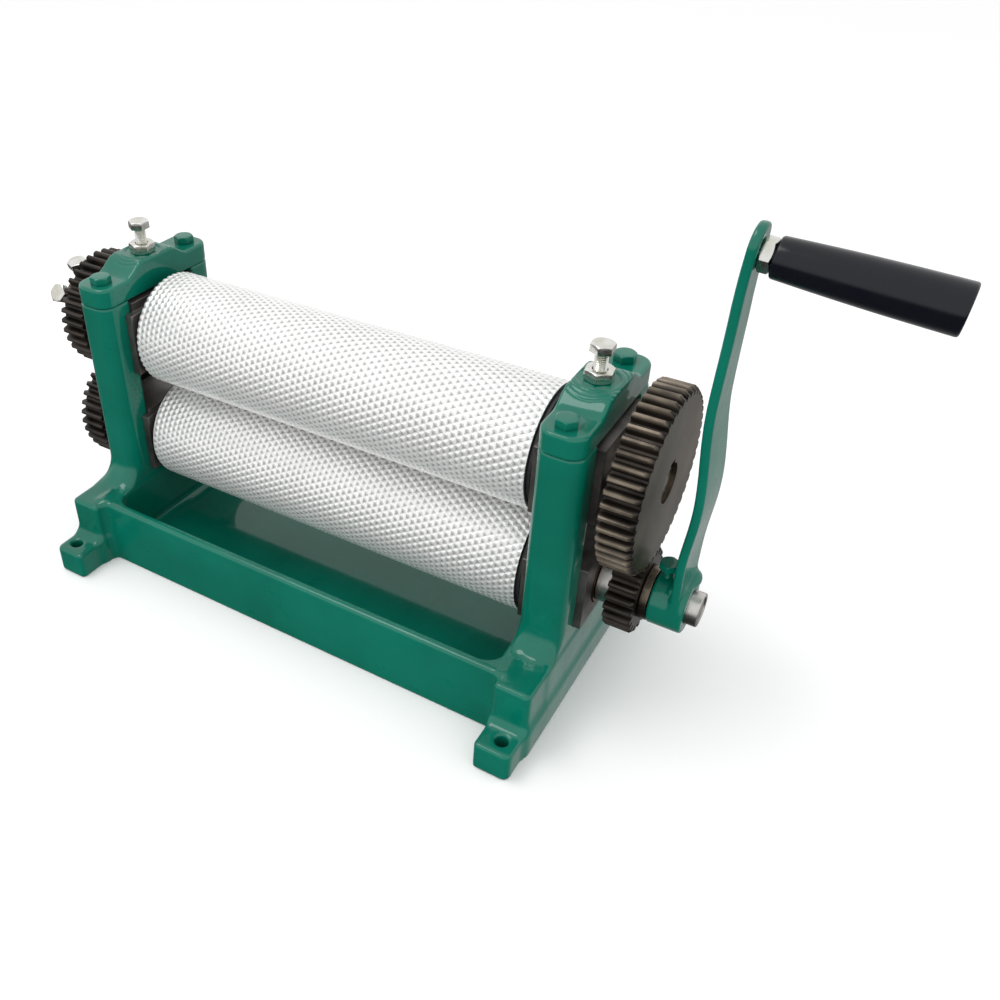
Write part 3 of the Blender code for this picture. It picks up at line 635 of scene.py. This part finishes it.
def casting_field(x, y, z):
    """Trough, end pads, lugs and the four slotted posts of the frame casting."""
    x = np.abs(x)
    y = np.abs(y)
    top = z - WALL_TOP
    walls = both(both(x - END_IN - 6, y - WALL_Y, 2), top, 3)
    pad = both(both(both(x - END_OUT, y - PAD_Y, 4), END_IN - x, 3), top, 3)
    lug = both(both(both(x - END_OUT, y - LUG_Y, 5), END_IN - x, 3.5), z - LUG_TOP, 2.5)
    body = either(either(walls, pad, 6), lug, 8)
    pocket = rounded_plan(x, y, POST_IN, WALL_Y - WALL_THICK, POCKET_CORNER_R)
    pocket = both(pocket, FLOOR_TOP - z, 6)
    body = without(body, pocket, 2.2)
    drop = np.clip(WALL_TOP + FLARE_R - z, 0, FLARE_R)
    reach = POST_FRONT + FLARE_R - np.sqrt(FLARE_R**2 - drop**2)
    half = (POST_OUT - POST_IN) / 2
    u = np.abs(x - POST_IN - half) - half + POST_CORNER_R
    v = y - reach + POST_CORNER_R
    post = np.minimum(np.maximum(u, v), 0) + np.hypot(np.maximum(u, 0), np.maximum(v, 0)) - POST_CORNER_R
    post = both(both(post, z - POST_TOP, 1.0), 15 - z, 1)
    body = either(body, post, 3)
    slot = both(y - SLOT_HALF, SLOT_FLOOR - z, 1.5)
    body = without(body, np.broadcast_to(slot, body.shape), 0.8)
    hole = np.hypot(x - LUG_HOLE[0], y - LUG_HOLE[1]) - LUG_HOLE_R
    body = without(body, hole, 0.8)
    bolt = np.maximum(np.hypot(x - SCREW_X, y - BOLT_Y) - BOLT_R - GAP, CAP_LAND - 48 - z)
    body = without(body, bolt, 0.2)
    return both(body, -z, 0.8)


def make_casting(green):
    lines_x = mirrored(grid_lines((0, 147, 7), (147, 198, 1.15)))
    lines_y = mirrored(grid_lines((0, 30, 4), (30, 123, 1.15)))
    lines_z = grid_lines((-2, 25, 1.15), (25, 46, 2.6), (46, 76, 1.15), (76, 197, 5.5), (197, 204, 1.0))
    obj = solid("frame", casting_field, (lines_x, lines_y, lines_z), green)
    return fit(obj, "root", "green_enamel", "frame_casting")


def cap_height(y):
    across = np.clip((CAP_SLOPE_END - np.abs(y)) / (CAP_SLOPE_END - CAP_CROWN_HALF), 0, 1)
    return CAP_LAND + (CAP_CROWN - CAP_LAND) * across**2 * (3 - 2 * across)


def cap_field(x, y, z):
    """One cap about its own middle: crowned bar with turned rings and a spot face round the screw."""
    half = (CAP_OUT - CAP_IN) / 2
    screw = SCREW_X - CAP_IN - half
    plan = rounded_plan(x, y, half, POST_FRONT, POST_CORNER_R)
    around = np.hypot(x - screw, y)
    cuts = sum(np.exp(-(((around - r) / 0.55) ** 2)) for r in TURNED_RINGS)
    crown = z - cap_height(y) + 0.5 * cuts
    body = both(both(plan, 0.92 * crown, 2.2), CAP_BOTTOM - z, 1.0)
    body = without(body, np.maximum(around - SPOT_FACE_R, SPOT_FACE_Z - z), 0.3)
    body = without(body, around - SCREW_R - GAP, 0.3)
    for side in (-1, 1):
        body = without(body, np.hypot(x - screw, y - side * BOLT_Y) - BOLT_R - GAP, 0.2)
    return body


def make_caps(green, zinc):
    half = (CAP_OUT - CAP_IN) / 2
    lines_x = grid_lines((-half - 1, half + 1, 0.6))
    lines_y = mirrored(grid_lines((0, POST_FRONT + 1, 0.6)))
    lines_z = grid_lines((CAP_BOTTOM - 1, CAP_CROWN + 1, 0.6))
    for side, label in ((-1, "left"), (1, "right")):
        field = (lambda x, y, z: cap_field(-x, y, z)) if side < 0 else cap_field
        place = (side * (CAP_IN + half), 0, 0)
        cap = solid(f"{label}_top_cap", field, (lines_x, lines_y, lines_z), green, place)
        fit(cap, "root", "green_enamel", f"{label}_cap")
        for front, word in ((-1, "front"), (1, "rear")):
            node = f"{label}_{word}_cap_bolt"
            length = span(node, 2)[1] - span(node, 2)[0] - BOLT_HEAD[1]
            place = (side * SCREW_X, front * BOLT_Y, CAP_LAND + 0.1)
            start = 18 if front < 0 else 5
            bolt = fastener(f"{label}_{word}_bolt", BOLT_HEAD, BOLT_R, length, place, green, start_deg=start)
            fit(bolt, "root", "green_enamel", node)
        place = (side * SCREW_X, 0, SCREW_TOP - SCREW_HEAD[1])
        length = SCREW_TOP - SCREW_HEAD[1] - SCREW_TIP
        screw = fastener(f"{label}_nip_screw", SCREW_HEAD, SCREW_R, length, place, zinc, SCREW_PITCH)
        fit(screw, f"{label}_screw", "zinc_plate", f"{label}_adjusting_screw")
        place = (side * SCREW_X, 0, SPOT_FACE_Z + 0.1)
        lock = nut(f"{label}_lock_nut", LOCK_NUT, SCREW_R + GAP, place, zinc, start_deg=8)
        fit(lock, "root", "zinc_plate", f"{label}_screw_lock_nut")


# ---------------------------------------------------------------- rollers


def emboss_facets(pit_level):
    """Corner points (x, angle, depth) and rhombic facets of the hexagonal cell pattern.

    The corners are a triangular lattice with three levels; each facet joins a pit to a peak.
    """
    rows = 2 * CELLS_AROUND
    pitch = 2 * pi * ROLLER_R / CELLS_AROUND / sqrt(3)
    count = round(4 * ROLLER_HALF / pitch) / 2
    pitch = 2 * ROLLER_HALF / count
    columns = range(-2, int(count) + 3)
    index = {}
    corners = []
    for row, k in product(range(rows), columns):
        level = (k - row // 2 - row - pit_level) % 3
        index[row, k] = len(corners)
        depth = EMBOSS_DEPTH * (2 - level) / 2
        corners.append((pitch * (k + 0.5 * (row % 2)) - ROLLER_HALF, 2 * pi * row / rows, depth))
    facets = []
    for row, k in product(range(rows), columns[1:-1]):
        if (k - row // 2 - row - pit_level) % 3:
            continue
        above = (row + 1) % rows
        below = (row - 1) % rows
        shift = row % 2
        ahead = index[row, k + 1]
        behind = index[row, k - 1]
        here = index[row, k]
        up_right = index[above, k + shift]
        up_left = index[above, k + shift - 1]
        down_right = index[below, k + shift]
        down_left = index[below, k + shift - 1]
        facets += [(here, ahead, up_right, up_left), (here, up_left, behind, down_left)]
        facets.append((here, down_left, down_right, ahead))
    return corners, facets


def make_sleeve(level, axis_z, pit_level, skin, end_metal):
    """A roller sleeve: embossed skin cut square at both ends, faced ends and a bored recess."""
    corners, facets = emboss_facets(pit_level)
    bm = bmesh.new()
    for x, turn, depth in corners:
        radius = (ROLLER_R - depth) * MM
        bm.verts.new((x * MM, radius * cos(turn), axis_z * MM + radius * sin(turn)))
    bm.verts.ensure_lookup_table()
    for facet in facets:
        bm.faces.new([bm.verts[i] for i in facet])
    for side in (-1, 1):
        geometry = bm.verts[:] + bm.edges[:] + bm.faces[:]
        plane = (side * ROLLER_HALF * MM, 0, 0)
        bmesh.ops.bisect_plane(bm, geom=geometry, dist=1e-7, plane_co=plane, plane_no=(side, 0, 0), clear_outer=True)
    loose = [v for v in bm.verts if not v.link_faces]
    bmesh.ops.delete(bm, geom=loose, context="VERTS")
    for side in (-1, 1):
        end = side * ROLLER_HALF * MM
        edges = [e for e in bm.edges if e.is_boundary and all(abs(v.co.x - end) < 1e-6 for v in e.verts)]
        for radius, x in ((CORE_R + GAP, ROLLER_HALF), (CORE_R + GAP, ROLLER_HALF - 3)):
            made = bmesh.ops.extrude_edge_only(bm, edges=edges)["geom"]
            edges = [g for g in made if isinstance(g, bmesh.types.BMEdge)]
            for v in {v for e in edges for v in e.verts}:
                around = Vector((v.co.y, v.co.z - axis_z * MM)).normalized() * radius * MM
                v.co = (side * x * MM, around.x, axis_z * MM + around.y)
            for face in {f for e in edges for f in e.link_faces}:
                face.material_index = 1
        bmesh.ops.contextual_create(bm, geom=edges)
    bmesh.ops.recalc_face_normals(bm, faces=bm.faces)
    mesh = bpy.data.meshes.new(f"{level}_roller_skin")
    bm.to_mesh(mesh)
    bm.free()
    mesh.materials.append(skin)
    mesh.materials.append(end_metal)
    mesh.shade_smooth()
    mesh.set_sharp_from_angle(angle=radians(60))
    obj = bpy.data.objects.new(f"{level}_roller", mesh)
    bpy.context.scene.collection.objects.link(obj)
    soften(obj, 0.16, segments=1, angle_deg=12)
    return fit(obj, f"{level}_roller", "roller_aluminium", f"{level}_roller_sleeve")


def make_end_discs(level, axis_z, black):
    for label in ("left", "right"):
        node = f"{level}_{label}_end_disc"
        low, high = span(node)
        radius = span(node, 2)[1] - axis_z
        disc = lathe(f"{level}_{label}_disc", tube(low, high, radius, JOURNAL_R + GAP), axis_z, black, closed=True)
        fit(disc, f"{level}_roller", "black_ring", node)


def keyed(name, profile, axis_z, material, keyways):
    """A turned shaft with flat-bottomed keyways cut along its top."""
    shaft = lathe(name, profile, axis_z, material, edge=0)
    low = axis_z + SEAT_R - 3.4
    for index, (x0, x1) in enumerate(keyways):
        half = KEY_WIDTH / 2 + GAP
        verts = [(x, y, z) for x in (x0, x1) for y in (-half, half) for z in (low, axis_z + SEAT_R + 3)]
        faces = [(0, 1, 3, 2), (4, 6, 7, 5), (0, 4, 5, 1), (2, 3, 7, 6), (0, 2, 6, 4), (1, 5, 7, 3)]
        cutter = new_object(f"keyway_{index}", verts, faces, material)
        cut = shaft.modifiers.new("keyway", "BOOLEAN")
        cut.object = cutter
        cut.operation = "DIFFERENCE"
        graph = bpy.context.evaluated_depsgraph_get()
        mesh = bpy.data.meshes.new_from_object(shaft.evaluated_get(graph))
        shaft.modifiers.clear()
        shaft.data = mesh
        bpy.data.objects.remove(cutter, do_unlink=True)
    shaft.data.shade_smooth()
    shaft.data.set_sharp_from_angle(angle=radians(30))
    return soften(shaft, 0.35)


def make_shafts(steel_upper_painted_bright, steel_lower):
    core = ROLLER_HALF - 0.2
    left, right = span("upper_shaft")
    key = span("drive_gear_key")
    timing_key = span("upper_timing_key")
    profile = [(right, SEAT_R), (JOURNAL_END, SEAT_R), (JOURNAL_END, JOURNAL_R), (core, JOURNAL_R), (core, CORE_R)]
    profile += [(-core, CORE_R), (-core, JOURNAL_R), (-JOURNAL_END, JOURNAL_R), (-JOURNAL_END, SEAT_R)]
    profile.append((left, SEAT_R))
    ways = [(key[0] - GAP, right + 1), (timing_key[0] - GAP, timing_key[1] + GAP)]
    fit(keyed("upper_axle", profile, UPPER_Z, steel_upper_painted_bright, ways), "upper_roller", "shaft_steel", "upper_shaft")
    left, right = span("lower_shaft")
    profile = [(right, STUB_R), (JOURNAL_END, STUB_R)] + profile[2:-1] + [(left, SEAT_R)]
    ways = [(timing_key[0] - GAP, timing_key[1] + GAP)]
    fit(keyed("lower_axle", profile, LOWER_Z, steel_lower, ways), "lower_roller", "shaft_steel", "lower_shaft")


def make_rings(steel_upper_painted_bright, steel_lower):
    rings = [("upper_left_spacer", UPPER_Z, "upper_roller", steel_upper_painted_bright, SEAT_R + GAP)]
    rings.append(("upper_right_spacer", UPPER_Z, "upper_roller", steel_upper_painted_bright, SEAT_R + GAP))
    rings.append(("lower_left_spacer", LOWER_Z, "lower_roller", steel_lower, SEAT_R + GAP))
    rings.append(("lower_gear_retaining_ring", LOWER_Z, "lower_roller", steel_lower, SEAT_R + GAP))
    rings.append(("pinion_spacer", LOWER_Z, "lower_roller", steel_lower, STUB_R + GAP))
    for node, axis_z, body, steel, bore in rings:
        low, high = span(node)
        outer = span(node, 2)[1] - axis_z
        ring = lathe(f"{node}_turned", tube(low, high, outer, bore), axis_z, steel, closed=True)
        fit(ring, body, "shaft_steel", node)


# ---------------------------------------------------------------- gears


def involute(angle):
    return tan(angle) - angle


def gear_outline(teeth, tooth_at, backlash=0.22, steps=6):
    """Polar outline (angle, radius) of an involute gear with one tooth centred at the angle tooth_at."""
    pitch = MODULE * teeth / 2
    pressure = radians(20)
    base = pitch * cos(pressure)
    root = pitch - 1.25 * MODULE
    tip = pitch + MODULE - 0.4
    half_pitch = pi / (2 * teeth) - backlash / 2 / pitch
    start = max(base, root + 0.6)
    flank = [start + (tip - start) * i / (steps - 1) for i in range(steps)]
    halves = [half_pitch + involute(pressure) - involute(acos(base / r)) for r in flank]
    radii = [root, root + 0.25] + flank[:-1] + [tip - 0.35, tip]
    halves = [halves[0] + 0.55 / root, halves[0] + 0.18 / root] + halves[:-1] + [halves[-1], halves[-1] * 0.72]
    points = []
    for tooth in range(teeth):
        centre = tooth_at + 2 * pi * tooth / teeth
        points += [(centre - h, r) for r, h in zip(radii, halves)]
        points += [(centre + h, r) for r, h in reversed(list(zip(radii, halves)))]
    return points


def circle(radius, count):
    return [(radius * cos(a), radius * sin(a)) for a in angles(count)]


def keyed_bore(radius, segments=64):
    """A bore with a keyway at the top."""
    half = KEY_WIDTH / 2 + GAP
    start = acos(half / radius)
    sweep = 2 * pi - (pi - 2 * start)
    arc = [pi - start + sweep * i / segments for i in range(segments + 1)]
    return [(radius * cos(a), radius * sin(a)) for a in arc] + [(half, KEY_TOP + GAP), (-half, KEY_TOP + GAP)]


def clipped(outline, limit):
    """Points of a polar outline with its radii held below a limit."""
    return [(min(r, limit) * cos(a), min(r, limit) * sin(a)) for a, r in outline]


def gear_body(name, outline, bore, low, high, cuts, axis_z, materials):
    """A toothed blank across X; cuts gives how far the tooth ends are turned down at its two faces."""
    tip = max(r for _, r in outline)
    levels = [(low, tip - cuts[0]), (low + cuts[0], tip), (high - cuts[1], tip), (high, tip - cuts[1])]
    rings = [(x, clipped(outline, limit)) for x, limit in levels]
    count = len(outline)
    verts = [(x, u, v + axis_z) for x, ring in rings for u, v in ring]
    faces = []
    for level, i in product(range(len(rings) - 1), range(count)):
        a = level * count + i
        b = level * count + (i + 1) % count
        faces.append((a, b, b + count, a + count))
    sides = len(faces)
    first = len(verts)
    verts += [(x, u, v + axis_z) for x in (low, high) for u, v in bore]
    for i in range(len(bore)):
        a = first + i
        b = first + (i + 1) % len(bore)
        faces.append((b, a, a + len(bore), b + len(bore)))
    for start, ring_at, bore_at, flip in ((0, 0, first, True), (3, 3 * count, first + len(bore), False)):
        loops = [rings[start][1], bore]
        where = list(range(ring_at, ring_at + count)) + list(range(bore_at, bore_at + len(bore)))
        for triangle in tessellate_polygon([[Vector((u, v, 0)) for u, v in loop] for loop in loops]):
            face = tuple(where[i] for i in triangle)
            faces.append(face[::-1] if flip else face)
    obj = new_object(name, verts, faces, materials)
    for polygon in obj.data.polygons:
        polygon.material_index = int(polygon.index >= sides)
    bm = bmesh.new()
    bm.from_mesh(obj.data)
    bmesh.ops.dissolve_degenerate(bm, edges=bm.edges, dist=1e-6)
    bmesh.ops.recalc_face_normals(bm, faces=bm.faces)
    bm.to_mesh(obj.data)
    bm.free()
    return soften(obj, 0.25)


def make_gears():
    phases = {"timing": pi / 2 + pi / TEETH["timing"], "pinion": pi / 2 + pi / TEETH["pinion"]}
    seat = keyed_bore(SEAT_R + GAP)
    gears = [("upper_timing_gear", "timing", -pi / 2, UPPER_Z, "upper_roller", seat, (1.0, 1.0))]
    gears.append(("lower_timing_gear", "timing", phases["timing"], LOWER_Z, "lower_roller", seat, (1.0, 1.0)))
    gears.append(("drive_gear", "drive", -pi / 2, UPPER_Z, "upper_roller", seat, (0.8, 3.0)))
    stub = circle(STUB_R + GAP, 64)
    gears.append(("drive_pinion", "pinion", phases["pinion"], LOWER_Z, "crank", stub, (0.8, 1.4)))
    for node, kind, tooth_at, axis_z, body, bore, cuts in gears:
        pitch = MODULE * TEETH[kind] / 2
        looks = [gear_steel(f"{node}_teeth", axis_z, pitch - 1.25 * MODULE, pitch + MODULE, kind == "drive")]
        looks.append(gear_face(f"{node}_face", axis_z, kind == "drive"))
        low, high = span(node)
        if kind == "pinion":
            high = PINION_END
        gear = gear_body(f"{node}_cut", gear_outline(TEETH[kind], tooth_at), bore, low, high, cuts, axis_z, looks)
        fit(gear, body, "gear_steel", node)


# ---------------------------------------------------------------- crank, hub and handle


def make_hub(oily, zinc):
    low, high = span("timing_hub")
    radius = span("timing_hub", 2)[1] - UPPER_Z
    hub = lathe("timing_collar", tube(low, high, radius, SEAT_R + GAP), UPPER_Z, oily, closed=True, edge=0.8)
    fit(hub, "upper_roller", "gear_steel", "timing_hub")
    for index, degrees in enumerate(TIMING_SCREW_DEG):
        turn = Matrix.Rotation(radians(degrees - 90), 4, "X")
        place = Vector(((low + high) / 2 - 1, 0, UPPER_Z)) + turn @ Vector((0, 0, TIMING_SCREW_HEAD_R))
        length = TIMING_SCREW_HEAD_R - SEAT_R - 2 * GAP
        name = f"timing_bolt_{index + 1}"
        bolt = fastener(name, BOLT_HEAD, BOLT_R, length, place, zinc, SCREW_PITCH, turn, 12 + 25 * index)
        fit(bolt, "upper_roller", "zinc_plate", f"timing_screw_{index + 1}")


def between(stations, height, smooth):
    """Values at heights from (height, value) stations, joined by straight lines or by half cosines."""
    heights = [h for h, _ in stations]
    place = np.interp(height, heights, range(len(stations)))
    if smooth:
        whole = np.floor(place)
        place = whole + (1 - np.cos(pi * (place - whole))) / 2
    return np.interp(place, range(len(stations)), [v for _, v in stations])


def arm_width(height):
    stations = [(0, 31.0), (14, 34.6), (40, 39.8), (65, 40.3), (90, 39.6), (120, 37.0), (150, 31.4), (180, 27.2)]
    return between(stations + [(210, 24.8), (235, 23.6)], height, False)


def arm_offset(height):
    """x of the arm's middle: it bows out past the gear, comes in again and leans out at the handle."""
    lean = tan(HANDLE_LEAN) * np.maximum(height - (CRANK_LENGTH - 30), 0) ** 2 / 60
    foot = between([(0, 251.0), (38, 250.5), (84, 253.1), (152, 248.0)], height, True)
    top = HANDLE_X - tan(HANDLE_LEAN) * 15
    return foot + lean + (top - 248.0) * between([(152, 0.0), (CRANK_LENGTH - 30, 1.0)], height, True)


def arm_field(x, y, z):
    """Crank arm casting about the crank's axis: bowed flat bar, round tip and boss."""
    width = (arm_width(z - 8) + arm_width(z - 4) + arm_width(z) + arm_width(z + 4) + arm_width(z + 8)) / 5
    tip_r = arm_width(ARM_TIP) / 2
    slope = (arm_offset(z + 1) - arm_offset(z - 1)) / 2
    thick = (np.abs(x - arm_offset(z)) - ARM_THICK / 2) / np.sqrt(1 + slope**2)
    side = np.abs(y) - width / 2
    side = np.where(z > ARM_TIP, np.hypot(y, z - ARM_TIP) - tip_r, side)
    side = np.where(z < 0, np.hypot(y, z) - arm_width(0) / 2, side)
    bar = both(thick, side + 0 * x, 1.7)
    foot = np.hypot(y + 7.5, z - 13.5) - 6.0
    foot = both(foot, np.abs(x - BOSS_X[1] + 7.6) - 5.2, 2.0)
    lug = np.sqrt((x - BOSS_X[1] + 3.4) ** 2 + ((y - 8.0) / 1.3) ** 2 + (z - 16.2) ** 2) - 5.4
    half = (BOSS_X[1] - BOSS_X[0]) / 2
    boss = both(np.hypot(y, z) - BOSS_R, np.abs(x - BOSS_X[0] - half) - half, 1.6)
    arm = either(either(either(bar, boss, 3), foot, 1.2), lug, 3)
    return without(arm, np.hypot(y, z) - SLEEVE_R - GAP + 0 * x, 0.5)


def make_crank(green, oily, steel):
    lines_x = grid_lines((BOSS_X[0] - 1, BOSS_X[1] + 2.2, 0.7))
    lines_y = mirrored(grid_lines((0, 21.4, 0.75)))
    lines_z = grid_lines((-BOSS_R - 1.2, 28, 0.7), (28, 236, 1.6), (236, ARM_TIP + 13.2, 0.8))
    arm = solid("arm", arm_field, (lines_x, lines_y, lines_z), green, (0, 0, LOWER_Z))
    fit(arm, "crank", "green_enamel", "crank_arm")
    sleeve = tube(PINION_END - 1, span("drive_pinion")[1], SLEEVE_R, STUB_R + GAP)
    sleeve = lathe("pinion_sleeve", sleeve, LOWER_Z, steel, closed=True, edge=0.7)
    fit(sleeve, "crank", "gear_steel", "drive_pinion")
    low, high = span("crank_washer")
    outer = span("crank_washer", 2)[1] - LOWER_Z
    washer = lathe("thrust_washer", tube(low, high, outer, SLEEVE_R + GAP), LOWER_Z, oily, closed=True, edge=0.6)
    fit(washer, "crank", "gear_steel", "crank_washer")
    turn = Matrix.Rotation(radians(SET_SCREW_DEG), 4, "X")
    place = Vector((SET_SCREW_X, 0, LOWER_Z)) + turn @ Vector((0, 0, SLEEVE_R + GAP + 13.8))
    grub = fastener("arm_set_screw", (11.0, 4.8), 3.2, 13.5, place, green, 1.0, turn)
    fit(grub, "crank", "zinc_plate", "crank_set_screw")


def lean_out(obj):
    """Moves a piece made on the X axis onto the handle's leaning axis."""
    place = Matrix.Translation(Vector((HANDLE_X, 0, LOWER_Z + CRANK_LENGTH)) * MM)
    obj.data.transform(place @ Matrix.Rotation(HANDLE_LEAN, 4, "Y"))
    return obj


def make_handle(zinc, plastic):
    end = GRIP_START + GRIP_LENGTH
    recess_r, recess_depth = GRIP_RECESS
    head = end - recess_depth + GAP
    face = ARM_THICK / 2
    profile = [(end - 1.2, recess_r - 1.2), (head, recess_r - 1.2), (head, SPINDLE_R), (-face - 1, SPINDLE_R)]
    fit(lean_out(lathe("grip_spindle", profile, 0, zinc, 64)), "crank", "zinc_plate", "handle_spindle")
    lock = nut("grip_nut", HANDLE_NUT, SPINDLE_R + GAP, (0, 0, 0), zinc, start_deg=0)
    lock.data.transform(Matrix.Translation((face + 0.3) * MM * Vector((1, 0, 0))) @ Matrix.Rotation(pi / 2, 4, "Y"))
    fit(lean_out(lock), "crank", "zinc_plate", "handle_nut")
    steps = 14
    body = []
    for i in range(steps + 1):
        t = i / steps
        radius = GRIP_R[0] + (GRIP_R[1] - GRIP_R[0]) * t + 0.5 * sin(pi * t)
        body.append((end - 1.4 - (GRIP_LENGTH - 3.0) * (1 - t), radius))
    rim = [(end - 1.4 + 1.4 * sin(a), GRIP_R[1] - 1.4 + 1.4 * cos(a)) for a in (radians(22), radians(45), radians(68))]
    nose = [(GRIP_START + 1.6 - 1.6 * sin(a), GRIP_R[0] - 1.6 + 1.6 * cos(a)) for a in (radians(30), radians(60))]
    profile = [(end - recess_depth, SPINDLE_R + GAP), (end - recess_depth, recess_r), (end - 0.5, recess_r)]
    profile += [(end, recess_r + 0.5), (end, GRIP_R[1] - 1.4)] + rim[::-1] + body[::-1] + nose
    profile += [(GRIP_START, GRIP_R[0] - 1.6), (GRIP_START, SPINDLE_R + GAP)]
    grip = lathe("grip", profile, 0, plastic, 128, closed=True, edge=0)
    fit(lean_out(grip), "grip", "grip_plastic", "handle_grip")


def dress_cad_nodes(block_look, bronze, steel_upper_painted_bright, steel_lower):
    """Materials and small edge rounds for the CAD solids that are shown as they are."""
    for name, node in frame["nodes"].items():
        if name.endswith("bearing_block"):
            look = block_look
            soften(node, 0.6, segments=2, weld=True)
        elif name.endswith("bush"):
            look = bronze
        elif name.endswith("key"):
            look = steel_upper_painted_bright if "lower" not in name else steel_lower
        else:
            continue
        node.data.materials.clear()
        node.data.materials.append(look)


# ---------------------------------------------------------------- stage and camera


def look_from(azimuth, elevation, roll, place):
    """Camera matrix: azimuth 0 looks along +Y, and elevation is how far it looks down."""
    back = Vector((sin(azimuth) * cos(elevation), -cos(azimuth) * cos(elevation), sin(elevation)))
    right = (-back).cross(Vector((0, 0, 1))).normalized()
    up = right.cross(-back)
    right, up = right * cos(roll) + up * sin(roll), up * cos(roll) - right * sin(roll)
    matrix = Matrix((right, up, back)).transposed().to_4x4()
    matrix.translation = Vector(place) * MM
    return matrix


def make_camera():
    data = bpy.data.cameras.new("camera")
    data.sensor_width = 36.0
    data.lens = 36.21
    data.shift_x = 0.1098
    data.shift_y = -0.022
    camera = bpy.data.objects.new("camera", data)
    bpy.context.scene.collection.objects.link(camera)
    camera.matrix_world = look_from(radians(31.87), radians(35.46), radians(-0.07), (344.8, -497.7, 517.3))
    bpy.context.scene.camera = camera


def area_light(name, place, target, size, power, glossy=True):
    data = bpy.data.lights.new(name, "AREA")
    data.shape = "RECTANGLE"
    data.size, data.size_y = size
    data.energy = power
    light = bpy.data.objects.new(name, data)
    bpy.context.scene.collection.objects.link(light)
    light.location = place
    light.rotation_euler = (Vector(place) - Vector(target)).to_track_quat("Z", "Y").to_euler()
    light.visible_glossy = glossy


def make_stage():
    """White floor and a soft dome that is bright above the horizon and dark below it.

    Mirror-like surfaces see the dark lower half of the dome in place of the floor.
    """
    floor_look = Finish("studio_floor", (0.97, 0.97, 0.97), 0.0, 0.75)
    floor_look.roughness(floor_look.remap(floor_look.noise(3, 2), 0.3, 0.7, 0.7, 0.8))
    size = 8000.0
    corners = [(-size, -size, -0.2), (size, -size, -0.2), (size, size, -0.2), (-size, size, -0.2)]
    floor = new_object("floor", corners, [(0, 1, 2, 3)], floor_look.material)
    floor.visible_glossy = False
    world = bpy.data.worlds.new("studio")
    world.use_nodes = True
    tree = world.node_tree
    direction = add_node(tree, "ShaderNodeTexCoord").outputs["Generated"]
    parts = add_node(tree, "ShaderNodeSeparateXYZ", {0: direction}).outputs

    def ramp(value, low, high, to_low, to_high):
        inputs = {"Value": value, "From Min": low, "From Max": high, "To Min": to_low, "To Max": to_high}
        return add_node(tree, "ShaderNodeMapRange", inputs, interpolation_type="SMOOTHSTEP").outputs["Result"]

    below = ramp(parts["Y"], -0.2, 0.7, DOME["front_below"], DOME["back_below"])
    above = ramp(parts["Z"], -0.3, 0.02, 0.0, DOME["overhead"])
    strength = add_node(tree, "ShaderNodeMath", {0: below, 1: above}, operation="MAXIMUM").outputs[0]
    tree.nodes["Background"].inputs["Color"].default_value = (1, 1, 1, 1)
    tree.links.new(strength, tree.nodes["Background"].inputs["Strength"])
    bpy.context.scene.world = world
    area_light("key", (-0.5, -0.3, 1.5), (0, 0, 0.1), (0.8, 0.6), 6)
    area_light("front_fill", (0.3, -1.9, 0.9), (0, 0, 0.1), (1.6, 1.0), 7, glossy=False)
    bpy.context.scene.view_settings.view_transform = "Standard"


def main():
    green = green_enamel()
    zinc = zinc_plate()
    # The upper steel is coloured lighter than the lower one as a painted reflection, so that the shaft end recessed in
    # the drive gear's bore reads bright
    upper_steel_painted_bright = turned_steel("upper_shaft_steel_painted_bright", (0.76, 0.74, 0.70))
    lower_steel = turned_steel("lower_shaft_steel", (0.64, 0.62, 0.59))
    oily = turned_steel("oiled_steel", (0.16, 0.13, 0.10))
    end_metal = roller_end_metal()
    black = black_ring()
    make_casting(green)
    make_caps(green, zinc)
    for level, axis_z, pit_level in (("upper", UPPER_Z, 0), ("lower", LOWER_Z, 2)):
        make_sleeve(level, axis_z, pit_level, roller_aluminium(level, axis_z), end_metal)
        make_end_discs(level, axis_z, black)
    make_shafts(upper_steel_painted_bright, lower_steel)
    make_rings(upper_steel_painted_bright, lower_steel)
    make_gears()
    make_hub(oily, zinc)
    make_crank(green, oily, lower_steel)
    make_handle(zinc, grip_plastic())
    dress_cad_nodes(block_steel(), bush_bronze(), upper_steel_painted_bright, lower_steel)
    make_stage()
    make_camera()


main()
